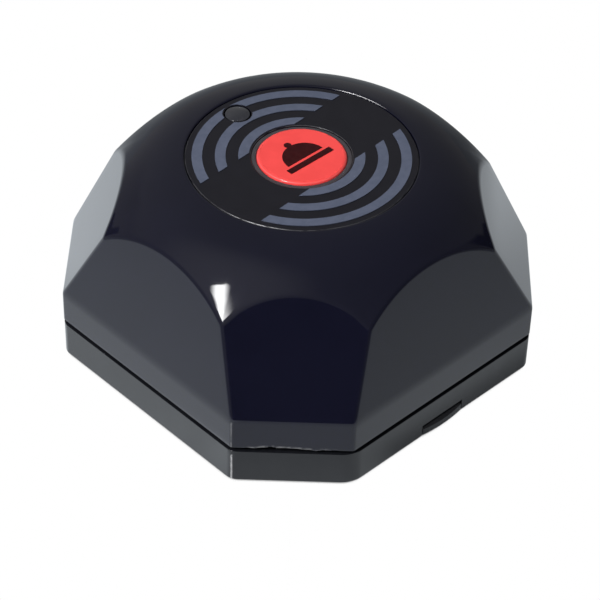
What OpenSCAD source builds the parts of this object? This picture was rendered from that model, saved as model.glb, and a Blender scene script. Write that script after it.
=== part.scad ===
// Wireless table call button: octagonal casing, domed lid, red push button, battery in the base.
// Millimetres, +Z up. Origin: on the table under the middle of the casing.
// +X runs along the mark on the button, +Y points to the indicator light, -Y to the battery door's tab.

/* [Casing] */
// width across two opposite long sides
case_w = 70; // [60:0.5:90]
// leg of the cut at each corner of the square
corner_cut = 14; // [9:0.5:18]
// height of the base's side wall
base_h = 6.3; // [5:0.1:9]
// height of the shadow gap between base and cover
reveal_h = 0.9; // [0.4:0.1:1.5]
// height of the cover's upright rim
rim_h = 5.8; // [4:0.1:8]
// lean of the four long facets from upright
long_lean = 15.8; // [10:0.1:22]
// lean of the four short facets from upright
short_lean = 28.1; // [20:0.1:35]
// wall thickness of the cover
cover_wall = 2.2; // [1.6:0.1:3]
// wall thickness of the base
base_wall = 2; // [1.6:0.1:3]
// floor thickness of the base
floor_t = 2; // [1.6:0.1:3]
// thickness of the base's tongue inside the cover
tongue_t = 1.4; // [1:0.1:2]
// height of the tongue above the base's wall
tongue_h = 3.6; // [2:0.1:5]
// gap between the tongue and the cover
tongue_gap = 0.15; // [0.1:0.05:0.3]

/* [Dome] */
// radius of the dome's main arc
dome_r = 39.3; // [36:0.1:44]
// distance of the main arc's centre from the axis
dome_offset = 4; // [2:0.1:8]
// height of the main arc's centre over the base's underside
dome_centre_h = 1.8; // [0:0.1:6]
// distance from the axis where the shoulder arc takes over
shoulder_at = 28; // [26:0.1:30]
// radius of the shoulder arc
shoulder_r = 16; // [13:0.1:18]

/* [Overlay] */
// radius of the round printed overlay
overlay_r = 19.3; // [17:0.1:21]
// thickness of the overlay
overlay_t = 0.5; // [0.3:0.05:0.8]
// depth of the overlay's recess under the top of the dome
recess_depth = 0.7; // [0.5:0.01:1]
// clearance round the overlay
overlay_gap = 0.15; // [0.05:0.05:0.3]
// thickness of the printed waves
print_t = 0.1; // [0.06:0.02:0.2]
// inner radius of the inner wave
wave_r = 8.75; // [8.7:0.05:9.4]
// width of a wave
wave_w = 1.75; // [1.2:0.05:2]
// step from wave to wave
wave_step = 3.85; // [3:0.05:4]
// half height of the plain band between the two groups of waves
band_half = 6.8; // [5:0.1:8]
// turn of the print about the axis
print_turn = 3.6; // [0:0.1:6]

/* [Button] */
// radius of the red cap
button_r = 7.48; // [6:0.02:8]
// running clearance of the cap in its ring
button_gap = 0.09; // [0.04:0.01:0.1]
// wall of the grey ring
bezel_wall = 0.78; // [0.5:0.02:1]
// depth of the ring under the top of the overlay
bezel_sunk = 0.1; // [0.05:0.05:0.4]
// height of the cap over the ring
button_proud = 0.35; // [0.15:0.05:1]
// rounding of the cap's edge
button_round = 0.35; // [0.2:0.05:0.6]
// travel of the button
button_travel = 0.6; // [0.3:0.1:0.7]
// radius of the cap's flange under the ring
flange_r = 9; // [8.6:0.1:10]
// thickness of the flange
flange_t = 1.5; // [1:0.1:2]
// radius of the stem that reaches the switch
stem_r = 2.2; // [1.8:0.1:3]
// width of the bell mark
mark_w = 9.6; // [7:0.1:11]

/* [Light] */
// distance of the light from the axis
led_y = 15.7; // [14:0.1:16.5]
// radius of the light's body
led_r = 2.1; // [1.5:0.05:2.5]
// clearance round the light
led_gap = 0.25; // [0.1:0.05:0.3]
// height of the light over the overlay
led_proud = 0.3; // [0.1:0.05:1]
// length of the light's body
led_h = 8.6; // [6:0.1:9]

/* [Electronics] */
// gap between the board and the posts of the cover
board_gap = 0.9; // [0.5:0.1:2]
// reach of the board past the battery toward -Y
board_reach = 5.5; // [4:0.1:6]
// reach of the board past the light toward +Y
board_edge = 7.3; // [5:0.1:9]
// thickness of the board
board_t = 1.6; // [1:0.1:2]
// height of the board's underside over the base's underside
board_h = 15; // [14.5:0.1:16]
// side of the switch
switch_w = 6; // [6:0.1:6.2]
// height of the switch body
switch_h = 3.5; // [3.4:0.1:4]
// radius of the switch plunger
plunger_r = 1.7; // [1.5:0.05:1.75]
// height of the plunger over the switch plate
plunger_proud = 1.3; // [1:0.1:2]
// width of a switch leg
leg_w = 0.7; // [0.5:0.05:0.8]
// thickness of a switch leg
leg_t = 0.5; // [0.3:0.05:0.6]
// width of the encoder chip
chip_w = 3.9; // [3.8:0.1:4]
// length of the encoder chip
chip_l = 8.7; // [8.5:0.1:10]
// height of the encoder chip's body
chip_h = 1.5; // [1.3:0.1:1.7]
// reach of a chip pin
pin_l = 1.1; // [0.8:0.1:1.3]
// width of a chip pin
pin_w = 0.4; // [0.3:0.05:0.5]
// radius of the resonator can
can_r = 4; // [3.5:0.1:4.3]
// height of the resonator can
can_h = 3.2; // [2.5:0.1:4]
// length of a chip resistor or capacitor
smd_l = 2; // [1.6:0.1:2.2]

/* [Battery] */
// radius of the battery
cell_r = 5.15; // [5:0.05:5.3]
// length of the battery over its terminal
cell_l = 28.5; // [27:0.1:29]
// length of the terminal
nub_l = 1.2; // [0.8:0.1:1.5]
// distance of the battery from the casing's front side
cell_edge = 13; // [12.5:0.1:14]
// height of the battery over the base's floor
cell_lift = 0.1; // [0.05:0.05:0.3]
// thickness of the contacts
contact_t = 0.4; // [0.3:0.05:0.6]
// length of the contact spring between its plate and the battery
spring_l = 2; // [1.5:0.1:3]

/* [Battery door] */
// thickness of the door
door_t = 1.15; // [1:0.05:1.3]
// gap between the door and the base
door_gap = 0.15; // [0.1:0.05:0.25]
// width of the ledge the door lies under
ledge_w = 1.2; // [1:0.1:1.6]
// width of the finger tab
tab_w = 9.2; // [7:0.1:12]
// distance the tab stands out of the wall
tab_proud = 0.4; // [0.1:0.1:1]
// height of the notch over the tab
notch_h = 2.2; // [1.8:0.1:3]

/* [Fixings] */
// distance of a casing screw from the flat of its cut corner
screw_edge = 7.8; // [7.4:0.1:9]
// radius of a casing screw's shank
screw_r = 1.25; // [1:0.05:1.5]
// radius of a casing screw's head
screw_head_r = 2.6; // [2.2:0.1:2.7]
// radius of the posts the screws hold together
post_r = 3.6; // [3.2:0.1:4]
// height of the joint between base posts and cover posts over the base's underside
post_h = 8; // [7.5:0.1:9]
// gap between a rubber foot and the battery door
foot_clear = 1.6; // [0.8:0.1:3]
// radius of a rubber foot
foot_r = 4.2; // [3.5:0.1:5]
// height of a foot under the base
foot_proud = 0.5; // [0.3:0.1:1]
// depth of a foot in the base
foot_sunk = 0.8; // [0.5:0.1:1]

/* [Hidden] */
$fn = 96;
eps = 0.01;
big = 140;
half_w = case_w / 2;
short_d = (case_w - corner_cut) / sqrt(2);
z_base = foot_proud;
z_floor = z_base + floor_t;
z_wall = z_base + base_h;
z_cover = z_wall + reveal_h;
z_rim = z_cover + rim_h;
z_post = z_base + post_h;

// dome: main arc and shoulder arc share a tangent at shoulder_at
dome_z = z_base + dome_centre_h;
shoulder_sin = (shoulder_at - dome_offset) / dome_r;
shoulder_cos = sqrt(1 - shoulder_sin * shoulder_sin);
shoulder_x = dome_offset + (dome_r - shoulder_r) * shoulder_sin;
shoulder_z = dome_z + (dome_r - shoulder_r) * shoulder_cos;
z_top = shoulder_z + shoulder_r;

z_recess = z_top - recess_depth;
z_overlay = z_recess + overlay_t;
z_under = z_top - cover_wall;

bezel_in = button_r + button_gap;
bezel_out = bezel_in + bezel_wall;
bezel_lip = 1.1;
z_lip = z_under - bezel_lip;
z_bezel = z_overlay - bezel_sunk;
z_button = z_bezel + button_proud;
film_gap = 0.05;
rest_gap = 0.05;
z_flange = z_lip - rest_gap - flange_t;
mark_t = 0.1;
mark_bar = mark_w * 0.12;
mark_dome = mark_w * 0.4;

// battery bay
cell_y = cell_edge - half_w;
cell_z = z_floor + cell_lift + cell_r;
bay_x = (cell_l + spring_l) / 2;
cell_front_x = bay_x;
cell_back_x = cell_front_x - cell_l;
plate_x = bay_x + contact_t;
rib_gap = 0.25;
rib_t = 1.4;
bay_y = cell_r + rib_gap;
rib_h = 6.5;
contact_w = 7;
contact_half_h = 4;
tab_lead_w = 3;
tab_lead_tail = 0.8;
nub_r = cell_r * 0.37;
leaf_w = 4;
leaf_half_h = 3.6;
leaf_t = 0.45;

// battery door: its back edge is round, and turns about the middle of that round
open_x = plate_x;
rebate_x = open_x + ledge_w;
rebate_y = bay_y + ledge_w;
rebate_t = door_t + door_gap;
door_x = rebate_x - door_gap;
door_y = rebate_y - door_gap;
door_edge_r = door_t / 2;
tab_t = 0.9;
tab_lip = 1.2;
grip_l = 1.9;
grip_flat = 0.6;
grip_gap = 0.35;
z_grip = z_base + notch_h - grip_gap;
notch_gap = 0.15;
tab_end = half_w + tab_proud;
tab_bow_r = 30;
hook_x = 11;
hook_w = 4;
hook_side = 0.4;
hook_rise = 1.05;
hook_reach = 1.25;
hook_arm = 1.3;
hook_gap = 0.15;
z_hook = z_floor + hook_gap;
pad_l = 18;
pad_w = 5;
pad_gap = 0.05;

// casing screws: beside the door along X, and on the line parallel to the cut corner along Y
screw_x = door_x + foot_r + foot_clear;
screw_y = sqrt(2) * (short_d - screw_edge) - screw_x;
screw_head_h = 1.6;
head_gap = 0.2;
z_head = z_base + foot_sunk + head_gap;
z_seat = z_head + screw_head_h;
screw_l = 11.5;
screw_gap = 0.3;
screw_room = 0.5;
slot_l = screw_head_r * 1.23;
slot_w = screw_head_r * 0.27;
slot_d = screw_head_h * 0.56;
foot_gap = 0.05;

// board and what stands on it
board_w = 2 * (screw_x - post_r - board_gap);
board_front = board_reach - cell_y;
board_back = led_y + board_edge;
z_board = z_base + board_h;
z_parts = z_board + board_t;
z_switch = z_parts + switch_h;
plate_t = 0.3;
z_plate = z_switch + plate_t;
z_plunger = z_plate + plunger_proud;
plunger_gap = 0.08;
plunger_sunk = 1.8;
plunger_room = 0.2;
boss_r = 2.8;
boss_gap = 0.15;
board_hole_edge = 3.5;
board_hole_x = board_w / 2 - board_hole_edge;
board_hole_back = board_back - board_hole_edge;
board_hole_front = cell_y + bay_y + rib_t + hook_reach + boss_gap + boss_r;
board_screw_r = 0.9;
board_head_r = 1.9;
board_head_h = 1.3;
board_screw_l = 7;
leg_x = switch_w / 2;
leg_y = switch_w * 0.375;
leg_tail = leg_w * 1.4;
leg_rise = leg_w * 0.85;
leg_hole_r = leg_w * 0.86;
grid = board_w / 18;
chip_x = -4.5 * grid;
chip_y = 4.9 * grid;
chip_lift = chip_h * 0.13;
pin_h = chip_h * 0.4;
pin_step = chip_l / 7.25;
can_x = 5 * grid;
can_y = 4 * grid;
can_rim = can_r * 0.15;
smd_w = smd_l * 0.6;
smd_h = smd_l * 0.3;
smd_places = [[-7, 1], [-5, 0.5], [4, 0.5], [6, 0.5], [3.2, -2],
    [5, -2], [-3.2, -2], [-5, -2], [3.5, 8], [-3, 9]];

led_hole_r = led_r + led_gap;
ink_gap = 0.2;
z_led = z_overlay + led_proud;
z_led_foot = z_led - led_h;
led_flange_r = led_r * 1.18;
led_flange_t = 1;
led_ball_r = led_r * 3.5;
led_crown = led_ball_r - sqrt(led_ball_r * led_ball_r - led_r * led_r);
led_lead = 0.5;
led_pitch = 2.54;
spacer_r = led_r + 0.15;
lead_tail = 1.6;

// outline of the casing, moved in by t on every side
module octagon(t) {
    w = half_w - t;
    c = corner_cut - (2 - sqrt(2)) * t;
    polygon([[w, c - w], [w, w - c], [w - c, w], [c - w, w], [-w, w - c], [-w, c - w], [c - w, -w], [w - c, -w]]);
}

// all space behind one leaning facet, moved in by t
module behind_facet(dir, dist, lean, t) {
    rotate([0, 0, dir])
        translate([dist, 0, z_rim])
            rotate([0, -lean, 0])
                translate([-big - t, -big / 2, -big / 2])
                    cube(big);
}

// half section of the dome, moved in by t: the main arc, cut down to the shoulder arc and the flat top
module dome_section(t) {
    difference() {
        intersection() {
            translate([dome_offset, dome_z])
                circle(r = dome_r - t, $fn = 180);
            square([big, big]);
        }
        difference() {
            translate([-1, shoulder_z])
                square([shoulder_at + 1, big]);
            translate([shoulder_x, shoulder_z])
                circle(r = shoulder_r - t, $fn = 180);
            translate([-1, 0])
                square([shoulder_x + 1, z_top - t]);
        }
    }
}

// the cover's solid form from height z_from up, moved in by t
module cover_form(t, z_from) {
    intersection() {
        translate([0, 0, z_from])
            linear_extrude(height = big)
                octagon(t);
        rotate_extrude($fn = 180)
            dome_section(t);
        behind_facet(0, half_w, long_lean, t);
        behind_facet(90, half_w, long_lean, t);
        behind_facet(180, half_w, long_lean, t);
        behind_facet(270, half_w, long_lean, t);
        behind_facet(45, short_d, short_lean, t);
        behind_facet(135, short_d, short_lean, t);
        behind_facet(225, short_d, short_lean, t);
        behind_facet(315, short_d, short_lean, t);
    }
}

// one copy at each casing screw
module at_screws() {
    for (x = [-screw_x, screw_x], y = [-screw_y, screw_y])
        translate([x, y, 0])
            children();
}

// one copy at each board screw
module at_board_screws() {
    for (x = [-board_hole_x, board_hole_x], y = [board_hole_front, board_hole_back])
        translate([x, y, 0])
            children();
}

module top_cover() {
    color([0.03, 0.03, 0.05])
    difference() {
        union() {
            difference() {
                cover_form(0, z_cover);
                cover_form(cover_wall, 0);
            }
            intersection() {
                at_screws()
                    translate([0, 0, z_post])
                        cylinder(r = post_r, h = big);
                cover_form(cover_wall / 2, z_cover);
            }
        }
        translate([0, 0, z_recess])
            cylinder(r = overlay_r + overlay_gap, h = big);
        translate([0, 0, z_lip])
            cylinder(r = bezel_out, h = big);
        translate([0, led_y, z_lip])
            cylinder(r = led_hole_r, h = big, $fn = 48);
        at_screws()
            translate([0, 0, z_post - 1])
                cylinder(r = screw_r, h = z_seat + screw_l + screw_room + 1 - z_post, $fn = 32);
    }
}

module base_tray() {
    color([0.05, 0.05, 0.06])
    difference() {
        union() {
            translate([0, 0, z_base])
                linear_extrude(height = floor_t)
                    octagon(0);
            translate([0, 0, z_base])
                linear_extrude(height = base_h)
                    difference() {
                        octagon(0);
                        octagon(base_wall + tongue_gap + tongue_t);
                    }
            translate([0, 0, z_base])
                linear_extrude(height = base_h + tongue_h)
                    difference() {
                        octagon(cover_wall + tongue_gap);
                        octagon(cover_wall + tongue_gap + tongue_t);
                    }
            at_screws()
                translate([0, 0, z_base])
                    cylinder(r = post_r, h = post_h);
            at_board_screws()
                translate([0, 0, z_base])
                    cylinder(r = boss_r, h = board_h, $fn = 48);
            bay_ribs();
        }
        bay_opening();
        at_screws() {
            translate([0, 0, z_base - 1])
                cylinder(r = foot_r + foot_gap, h = foot_sunk + 1);
            translate([0, 0, z_base])
                cylinder(r = screw_head_r + screw_gap, h = z_seat - z_base, $fn = 48);
            translate([0, 0, z_base])
                cylinder(r = screw_r + screw_gap, h = post_h + 1, $fn = 48);
        }
        at_board_screws()
            translate([0, 0, z_board - board_screw_l])
                cylinder(r = board_screw_r, h = board_screw_l + 1, $fn = 32);
    }
}

// ribs round the battery, with a gap for each hook of the door
module bay_ribs() {
    difference() {
        translate([-plate_x - rib_t, cell_y - bay_y - rib_t, z_floor - eps])
            cube([2 * (plate_x + rib_t), 2 * (bay_y + rib_t), rib_h]);
        translate([-plate_x, cell_y - bay_y, z_floor - 1])
            cube([2 * plate_x, 2 * bay_y, rib_h + 2]);
        for (x = [-hook_x, hook_x])
            translate([x - hook_w / 2 - hook_side, cell_y + bay_y - 1, z_floor])
                cube([hook_w + 2 * hook_side, rib_t + 2, rib_h + 1]);
    }
}

// way in for the battery, rebate for the door and notch for its tab
module bay_opening() {
    translate([-open_x, cell_y - bay_y, z_base - 1])
        cube([2 * open_x, 2 * bay_y, floor_t + 2]);
    translate([-rebate_x, cell_y - rebate_y, z_base - 1])
        cube([2 * rebate_x, 2 * rebate_y, rebate_t + 1]);
    translate([-tab_w / 2 - notch_gap, -half_w - 1, z_base - 1])
        cube([tab_w + 2 * notch_gap, half_w + cell_y - rebate_y + 2, notch_h + 1]);
}

module battery_door() {
    color([0.05, 0.05, 0.06])
    union() {
        translate([-door_x, cell_y - door_y, z_base])
            cube([2 * door_x, 2 * door_y - door_edge_r, door_t]);
        translate([-door_x, cell_y + door_y - door_edge_r, z_base + door_edge_r])
            rotate([0, 90, 0])
                cylinder(r = door_edge_r, h = 2 * door_x, $fn = 48);
        door_tab();
        for (x = [-hook_x, hook_x]) {
            translate([x - hook_w / 2, cell_y + bay_y - hook_gap - hook_arm, z_base + door_t - eps])
                cube([hook_w, hook_arm, z_hook + hook_rise - z_base - door_t + eps]);
            translate([x - hook_w / 2, cell_y + bay_y - hook_gap - hook_arm, z_hook])
                cube([hook_w, hook_arm + hook_gap + rib_t + hook_reach, hook_rise]);
        }
    }
}

// finger tab: its bowed end slopes up from a lip to a grip inside the notch
module door_tab() {
    grip_y = grip_l - tab_end;
    root_y = cell_y - door_y + 1;
    intersection() {
        translate([-tab_w / 2, 0, 0])
            rotate([90, 0, 90])
                linear_extrude(height = tab_w)
                    polygon([[-tab_end, z_base], [root_y, z_base], [root_y, z_base + tab_t],
                        [grip_y, z_base + tab_t], [grip_y, z_grip], [grip_y - grip_flat, z_grip],
                        [-tab_end, z_base + tab_lip]]);
        translate([0, tab_bow_r - tab_end, z_base])
            cylinder(r = tab_bow_r, h = notch_h, $fn = 180);
    }
}

module door_pad() {
    color([0.25, 0.25, 0.26])
    translate([-pad_l / 2, cell_y - pad_w / 2, z_base + door_t])
        cube([pad_l, pad_w, cell_z - cell_r - z_base - door_t - pad_gap]);
}

module graphic_overlay() {
    color([0.06, 0.06, 0.08])
    difference() {
        translate([0, 0, z_recess])
            cylinder(r = overlay_r, h = overlay_t);
        translate([0, 0, z_recess - 1])
            cylinder(r = bezel_out + film_gap, h = overlay_t + 2);
        translate([0, led_y, z_recess - 1])
            cylinder(r = led_hole_r, h = overlay_t + 2, $fn = 48);
    }
}

module wave_print() {
    color([0.36, 0.38, 0.46])
    difference() {
        rotate([0, 0, print_turn])
            translate([0, 0, z_overlay])
                for (i = [0 : 2], side = [0, 180])
                    rotate([0, 0, side])
                        intersection() {
                            difference() {
                                cylinder(r = wave_r + i * wave_step + wave_w, h = print_t);
                                translate([0, 0, -1])
                                    cylinder(r = wave_r + i * wave_step, h = print_t + 2);
                            }
                            translate([-big / 2, band_half, -1])
                                cube([big, big, 3]);
                        }
        translate([0, led_y, z_overlay - 1])
            cylinder(r = led_hole_r + ink_gap, h = 3, $fn = 48);
    }
}

module button_bezel() {
    color([0.29, 0.3, 0.29])
    difference() {
        union() {
            translate([0, 0, z_lip])
                cylinder(r = bezel_out, h = z_bezel - z_lip);
            translate([0, 0, z_lip])
                cylinder(r = flange_r + 1, h = bezel_lip);
        }
        translate([0, 0, z_lip - 1])
            cylinder(r = bezel_in, h = z_bezel - z_lip + 2);
    }
}

module call_button() {
    color([0.9, 0.2, 0.18])
    union() {
        rotate_extrude()
            button_section();
        translate([0, 0, z_flange])
            cylinder(r = flange_r, h = flange_t);
        translate([0, 0, z_plunger + rest_gap])
            cylinder(r = stem_r, h = z_flange - z_plunger, $fn = 48);
    }
}

// half section of the cap, its upper edge rounded
module button_section() {
    translate([0, z_flange])
        square([button_r, z_button - button_round - z_flange]);
    translate([0, z_flange])
        square([button_r - button_round, z_button - z_flange]);
    translate([button_r - button_round, z_button - button_round])
        circle(r = button_round, $fn = 32);
}

// counter bell: bar, dome and knob
module button_mark() {
    color([0.25, 0.05, 0.06])
    translate([0, -mark_w * 0.27, z_button])
        linear_extrude(height = mark_t) {
            translate([-mark_w / 2, 0])
                square([mark_w, mark_bar]);
            translate([0, mark_bar * 1.5])
                intersection() {
                    circle(r = mark_dome, $fn = 64);
                    translate([-mark_w, 0])
                        square([2 * mark_w, mark_w]);
                }
            translate([-mark_bar / 3, mark_bar * 1.5 + mark_dome - 0.2])
                square([mark_bar * 2 / 3, mark_bar * 0.6]);
            translate([0, mark_bar * 1.9 + mark_dome])
                circle(r = mark_bar * 0.55, $fn = 32);
        }
}

module indicator_led() {
    color([0.2, 0.2, 0.21])
    translate([0, led_y, 0])
        union() {
            translate([0, 0, z_led_foot])
                cylinder(r = led_flange_r, h = led_flange_t, $fn = 48);
            translate([0, 0, z_led_foot])
                cylinder(r = led_r, h = led_h - led_crown, $fn = 48);
            intersection() {
                translate([0, 0, z_led - led_ball_r])
                    sphere(r = led_ball_r, $fn = 64);
                translate([0, 0, z_led - led_crown - eps])
                    cylinder(r = led_r, h = 3, $fn = 48);
            }
        }
}

module led_leads() {
    color([0.75, 0.75, 0.76])
    for (x = [-led_pitch / 2, led_pitch / 2])
        translate([x - led_lead / 2, led_y - led_lead / 2, z_board - lead_tail])
            cube([led_lead, led_lead, z_led_foot - z_board + lead_tail]);
}

module led_spacer() {
    color([0.85, 0.84, 0.8])
    difference() {
        translate([0, led_y, z_parts])
            cylinder(r = spacer_r, h = z_led_foot - z_parts, $fn = 48);
        for (x = [-led_pitch / 2, led_pitch / 2])
            translate([x, led_y, z_parts - 1])
                cylinder(r = led_lead, h = z_led_foot - z_parts + 2, $fn = 24);
    }
}

module main_board() {
    color([0.1, 0.35, 0.2])
    difference() {
        translate([-board_w / 2, -board_front, z_board])
            cube([board_w, board_front + board_back, board_t]);
        at_board_screws()
            translate([0, 0, z_board - 1])
                cylinder(r = board_screw_r + screw_gap, h = board_t + 2, $fn = 32);
        for (x = [-led_pitch / 2, led_pitch / 2])
            translate([x, led_y, z_board - 1])
                cylinder(r = led_lead, h = board_t + 2, $fn = 24);
        for (x = [-plate_x + contact_t / 2, plate_x - contact_t / 2])
            translate([x - 0.5, cell_y - tab_lead_w / 2 - 0.3, z_board - 1])
                cube([1, tab_lead_w + 0.6, board_t + 2]);
        for (x = [-leg_x - leg_t / 2, leg_x + leg_t / 2], y = [-leg_y, leg_y])
            translate([x, y, z_board - 1])
                cylinder(r = leg_hole_r, h = board_t + 2, $fn = 24);
    }
}

module switch_body() {
    color([0.08, 0.08, 0.08])
    difference() {
        translate([-switch_w / 2, -switch_w / 2, z_parts])
            cube([switch_w, switch_w, switch_h]);
        translate([0, 0, z_switch - plunger_sunk - button_travel - plunger_room])
            cylinder(r = plunger_r + plunger_gap, h = switch_h, $fn = 48);
    }
}

module switch_plate() {
    color([0.7, 0.7, 0.72])
    difference() {
        translate([-switch_w / 2, -switch_w / 2, z_switch])
            cube([switch_w, switch_w, plate_t]);
        translate([0, 0, z_switch - 1])
            cylinder(r = plunger_r + plunger_gap, h = plate_t + 2, $fn = 48);
    }
}

module switch_plunger() {
    color([0.12, 0.12, 0.12])
    translate([0, 0, z_switch - plunger_sunk])
        cylinder(r = plunger_r, h = z_plunger - z_switch + plunger_sunk, $fn = 48);
}

module switch_legs() {
    color([0.75, 0.75, 0.76])
    for (side = [0, 180], y = [-leg_y, leg_y])
        rotate([0, 0, side])
            translate([leg_x, y - leg_w / 2, z_board - leg_tail])
                cube([leg_t, leg_w, leg_tail + board_t + leg_rise]);
}

module encoder_chip() {
    color([0.06, 0.06, 0.06])
    translate([chip_x - chip_w / 2, chip_y - chip_l / 2, z_parts + chip_lift])
        cube([chip_w, chip_l, chip_h]);
}

module chip_pins() {
    color([0.75, 0.75, 0.76])
    for (side = [0, 180], i = [-3 : 3])
        translate([chip_x, chip_y, z_parts])
            rotate([0, 0, side])
                translate([chip_w / 2, i * pin_step - pin_w / 2, 0])
                    cube([pin_l, pin_w, pin_h]);
}

module resonator_can() {
    color([0.78, 0.77, 0.72])
    translate([can_x, can_y, z_parts])
        union() {
            cylinder(r = can_r + can_rim, h = can_rim);
            cylinder(r = can_r, h = can_h);
        }
}

module chip_parts() {
    color([0.2, 0.17, 0.15])
    for (p = smd_places)
        translate([p[0] * grid - smd_l / 2, p[1] * grid - smd_w / 2, z_parts])
            cube([smd_l, smd_w, smd_h]);
}

module battery_can() {
    color([0.16, 0.2, 0.34])
    translate([cell_back_x, cell_y, cell_z])
        rotate([0, 90, 0])
            cylinder(r = cell_r, h = cell_l - nub_l);
}

module battery_nub() {
    color([0.78, 0.78, 0.78])
    translate([cell_front_x - nub_l, cell_y, cell_z])
        rotate([0, 90, 0])
            cylinder(r = nub_r, h = nub_l, $fn = 48);
}

module contact_plate() {
    color([0.76, 0.76, 0.77])
    translate([bay_x, 0, 0])
        contact_strip();
}

module contact_spring() {
    color([0.76, 0.76, 0.77])
    union() {
        translate([-plate_x, 0, 0])
            contact_strip();
        translate([-bay_x, cell_y + leaf_w / 2, cell_z])
            rotate([90, 0, 0])
                linear_extrude(height = leaf_w)
                    polygon([[0, -leaf_half_h], [0, leaf_t - leaf_half_h], [spring_l - leaf_t, 0],
                        [0, leaf_half_h - leaf_t], [0, leaf_half_h], [spring_l, leaf_t], [spring_l, -leaf_t]]);
    }
}

// plate behind one end of the battery, with its tail up through the board
module contact_strip() {
    translate([0, cell_y - contact_w / 2, cell_z - contact_half_h])
        cube([contact_t, contact_w, 2 * contact_half_h]);
    translate([0, cell_y - tab_lead_w / 2, cell_z])
        cube([contact_t, tab_lead_w, z_parts + tab_lead_tail - cell_z]);
}

module case_screws() {
    color([0.7, 0.7, 0.72])
    at_screws()
        union() {
            translate([0, 0, z_head])
                difference() {
                    cylinder(r = screw_head_r, h = screw_head_h, $fn = 48);
                    for (turn = [0, 90])
                        rotate([0, 0, turn])
                            translate([-slot_l / 2, -slot_w / 2, -1])
                                cube([slot_l, slot_w, slot_d + 1]);
                }
            translate([0, 0, z_seat - eps])
                cylinder(r = screw_r, h = screw_l, $fn = 32);
        }
}

module board_screws() {
    color([0.7, 0.7, 0.72])
    at_board_screws()
        union() {
            translate([0, 0, z_parts])
                cylinder(r = board_head_r, h = board_head_h, $fn = 32);
            translate([0, 0, z_parts - board_screw_l])
                cylinder(r = board_screw_r, h = board_screw_l + eps, $fn = 32);
        }
}

module rubber_feet() {
    color([0.1, 0.1, 0.1])
    at_screws()
        cylinder(r = foot_r, h = foot_proud + foot_sunk);
}

base_tray();
top_cover();
graphic_overlay();
wave_print();
button_bezel();
call_button();
button_mark();
indicator_led();
led_leads();
led_spacer();
main_board();
switch_body();
switch_plate();
switch_plunger();
switch_legs();
encoder_chip();
chip_pins();
resonator_can();
chip_parts();
battery_can();
battery_nub();
contact_plate();
contact_spring();
battery_door();
door_pad();
case_screws();
board_screws();
rubber_feet();
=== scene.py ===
"""Visual model of a wireless table call button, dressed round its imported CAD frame.

Sizes in the classes are millimetres in the frame's own axes, and become metres where a mesh, a node or a lamp
is made. Angles in fields are degrees, and angles that the cover's methods hand on are radians.
"""

import logging
import math
from collections.abc import Callable, Iterable, Iterator
from contextlib import contextmanager
from dataclasses import dataclass, field
from enum import Enum
from typing import ClassVar, NamedTuple

import bmesh
import bpy
from mathutils import Matrix, Vector


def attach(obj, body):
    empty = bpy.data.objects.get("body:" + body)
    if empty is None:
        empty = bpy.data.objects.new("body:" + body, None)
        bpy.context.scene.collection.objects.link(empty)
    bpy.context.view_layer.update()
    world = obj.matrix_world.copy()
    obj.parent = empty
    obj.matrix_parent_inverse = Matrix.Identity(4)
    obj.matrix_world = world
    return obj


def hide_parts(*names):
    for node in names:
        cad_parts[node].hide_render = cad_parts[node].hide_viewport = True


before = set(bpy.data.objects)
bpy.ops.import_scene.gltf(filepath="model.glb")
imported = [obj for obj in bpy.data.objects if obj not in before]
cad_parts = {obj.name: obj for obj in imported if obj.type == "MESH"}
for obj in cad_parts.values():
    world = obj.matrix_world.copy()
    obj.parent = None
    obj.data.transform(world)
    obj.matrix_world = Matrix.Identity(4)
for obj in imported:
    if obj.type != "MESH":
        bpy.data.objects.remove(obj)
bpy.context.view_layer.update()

Piece = bpy.types.Object
Socket = bpy.types.NodeSocket
Edge = bmesh.types.BMEdge
EdgeRule = Callable[[Edge], float]
Colour = tuple[float, float, float]
Triple = tuple[float, float, float]
Span = tuple[float, float]
Profile = list[tuple[float, float]]

MM = 0.001
CLOSE = 0.01
SHARP_FOLD = 40.0
FLAT_FOLD = 0.6
WELD_REACH = 0.002
SMALL_SIDES = 64
DOWN, OUT, TOP = -90.0, 0.0, 90.0
ORIGIN = Vector((0.0, 0.0, 0.0))
X_AXIS: Triple = (1.0, 0.0, 0.0)
Y_AXIS: Triple = (0.0, 1.0, 0.0)
UP: Triple = (0.0, 0.0, 1.0)
LEFT: Triple = (-0.7071, 0.7071, 0.0)
BEHIND: Triple = (0.7071, 0.7071, 0.0)
WHITE: Colour = (1.0, 1.0, 1.0)
PALE_EDGE = "pale_edge"
BEVEL_WEIGHT = "bevel_weight_edge"
ROUNDED_FACES = 1
MIX_SHARE, MIX_FIRST, MIX_SECOND, MIX_RESULT = 0, 6, 7, 2
LOG = logging.getLogger("call_button")


class Axis(Enum):
    """The line that a turned piece turns about."""

    UP = "z"
    ALONG = "x"


# Modelling

def rest_selection() -> None:
    """Go back to object mode with nothing selected."""
    active = bpy.context.view_layer.objects.active
    if active is not None and active.mode != "OBJECT":
        bpy.ops.object.mode_set(mode="OBJECT")
    bpy.ops.object.select_all(action="DESELECT")


def take(obj: Piece) -> None:
    """Make one object the only selected and the active one.

    Args:
        obj: The object.
    """
    rest_selection()
    obj.select_set(True)
    bpy.context.view_layer.objects.active = obj


def new_piece(name: str) -> Piece:
    """Name the object that an operator has just made.

    Args:
        name: The name.

    Returns:
        The object.
    """
    obj = bpy.context.object
    obj.name = obj.data.name = name
    return obj


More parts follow.
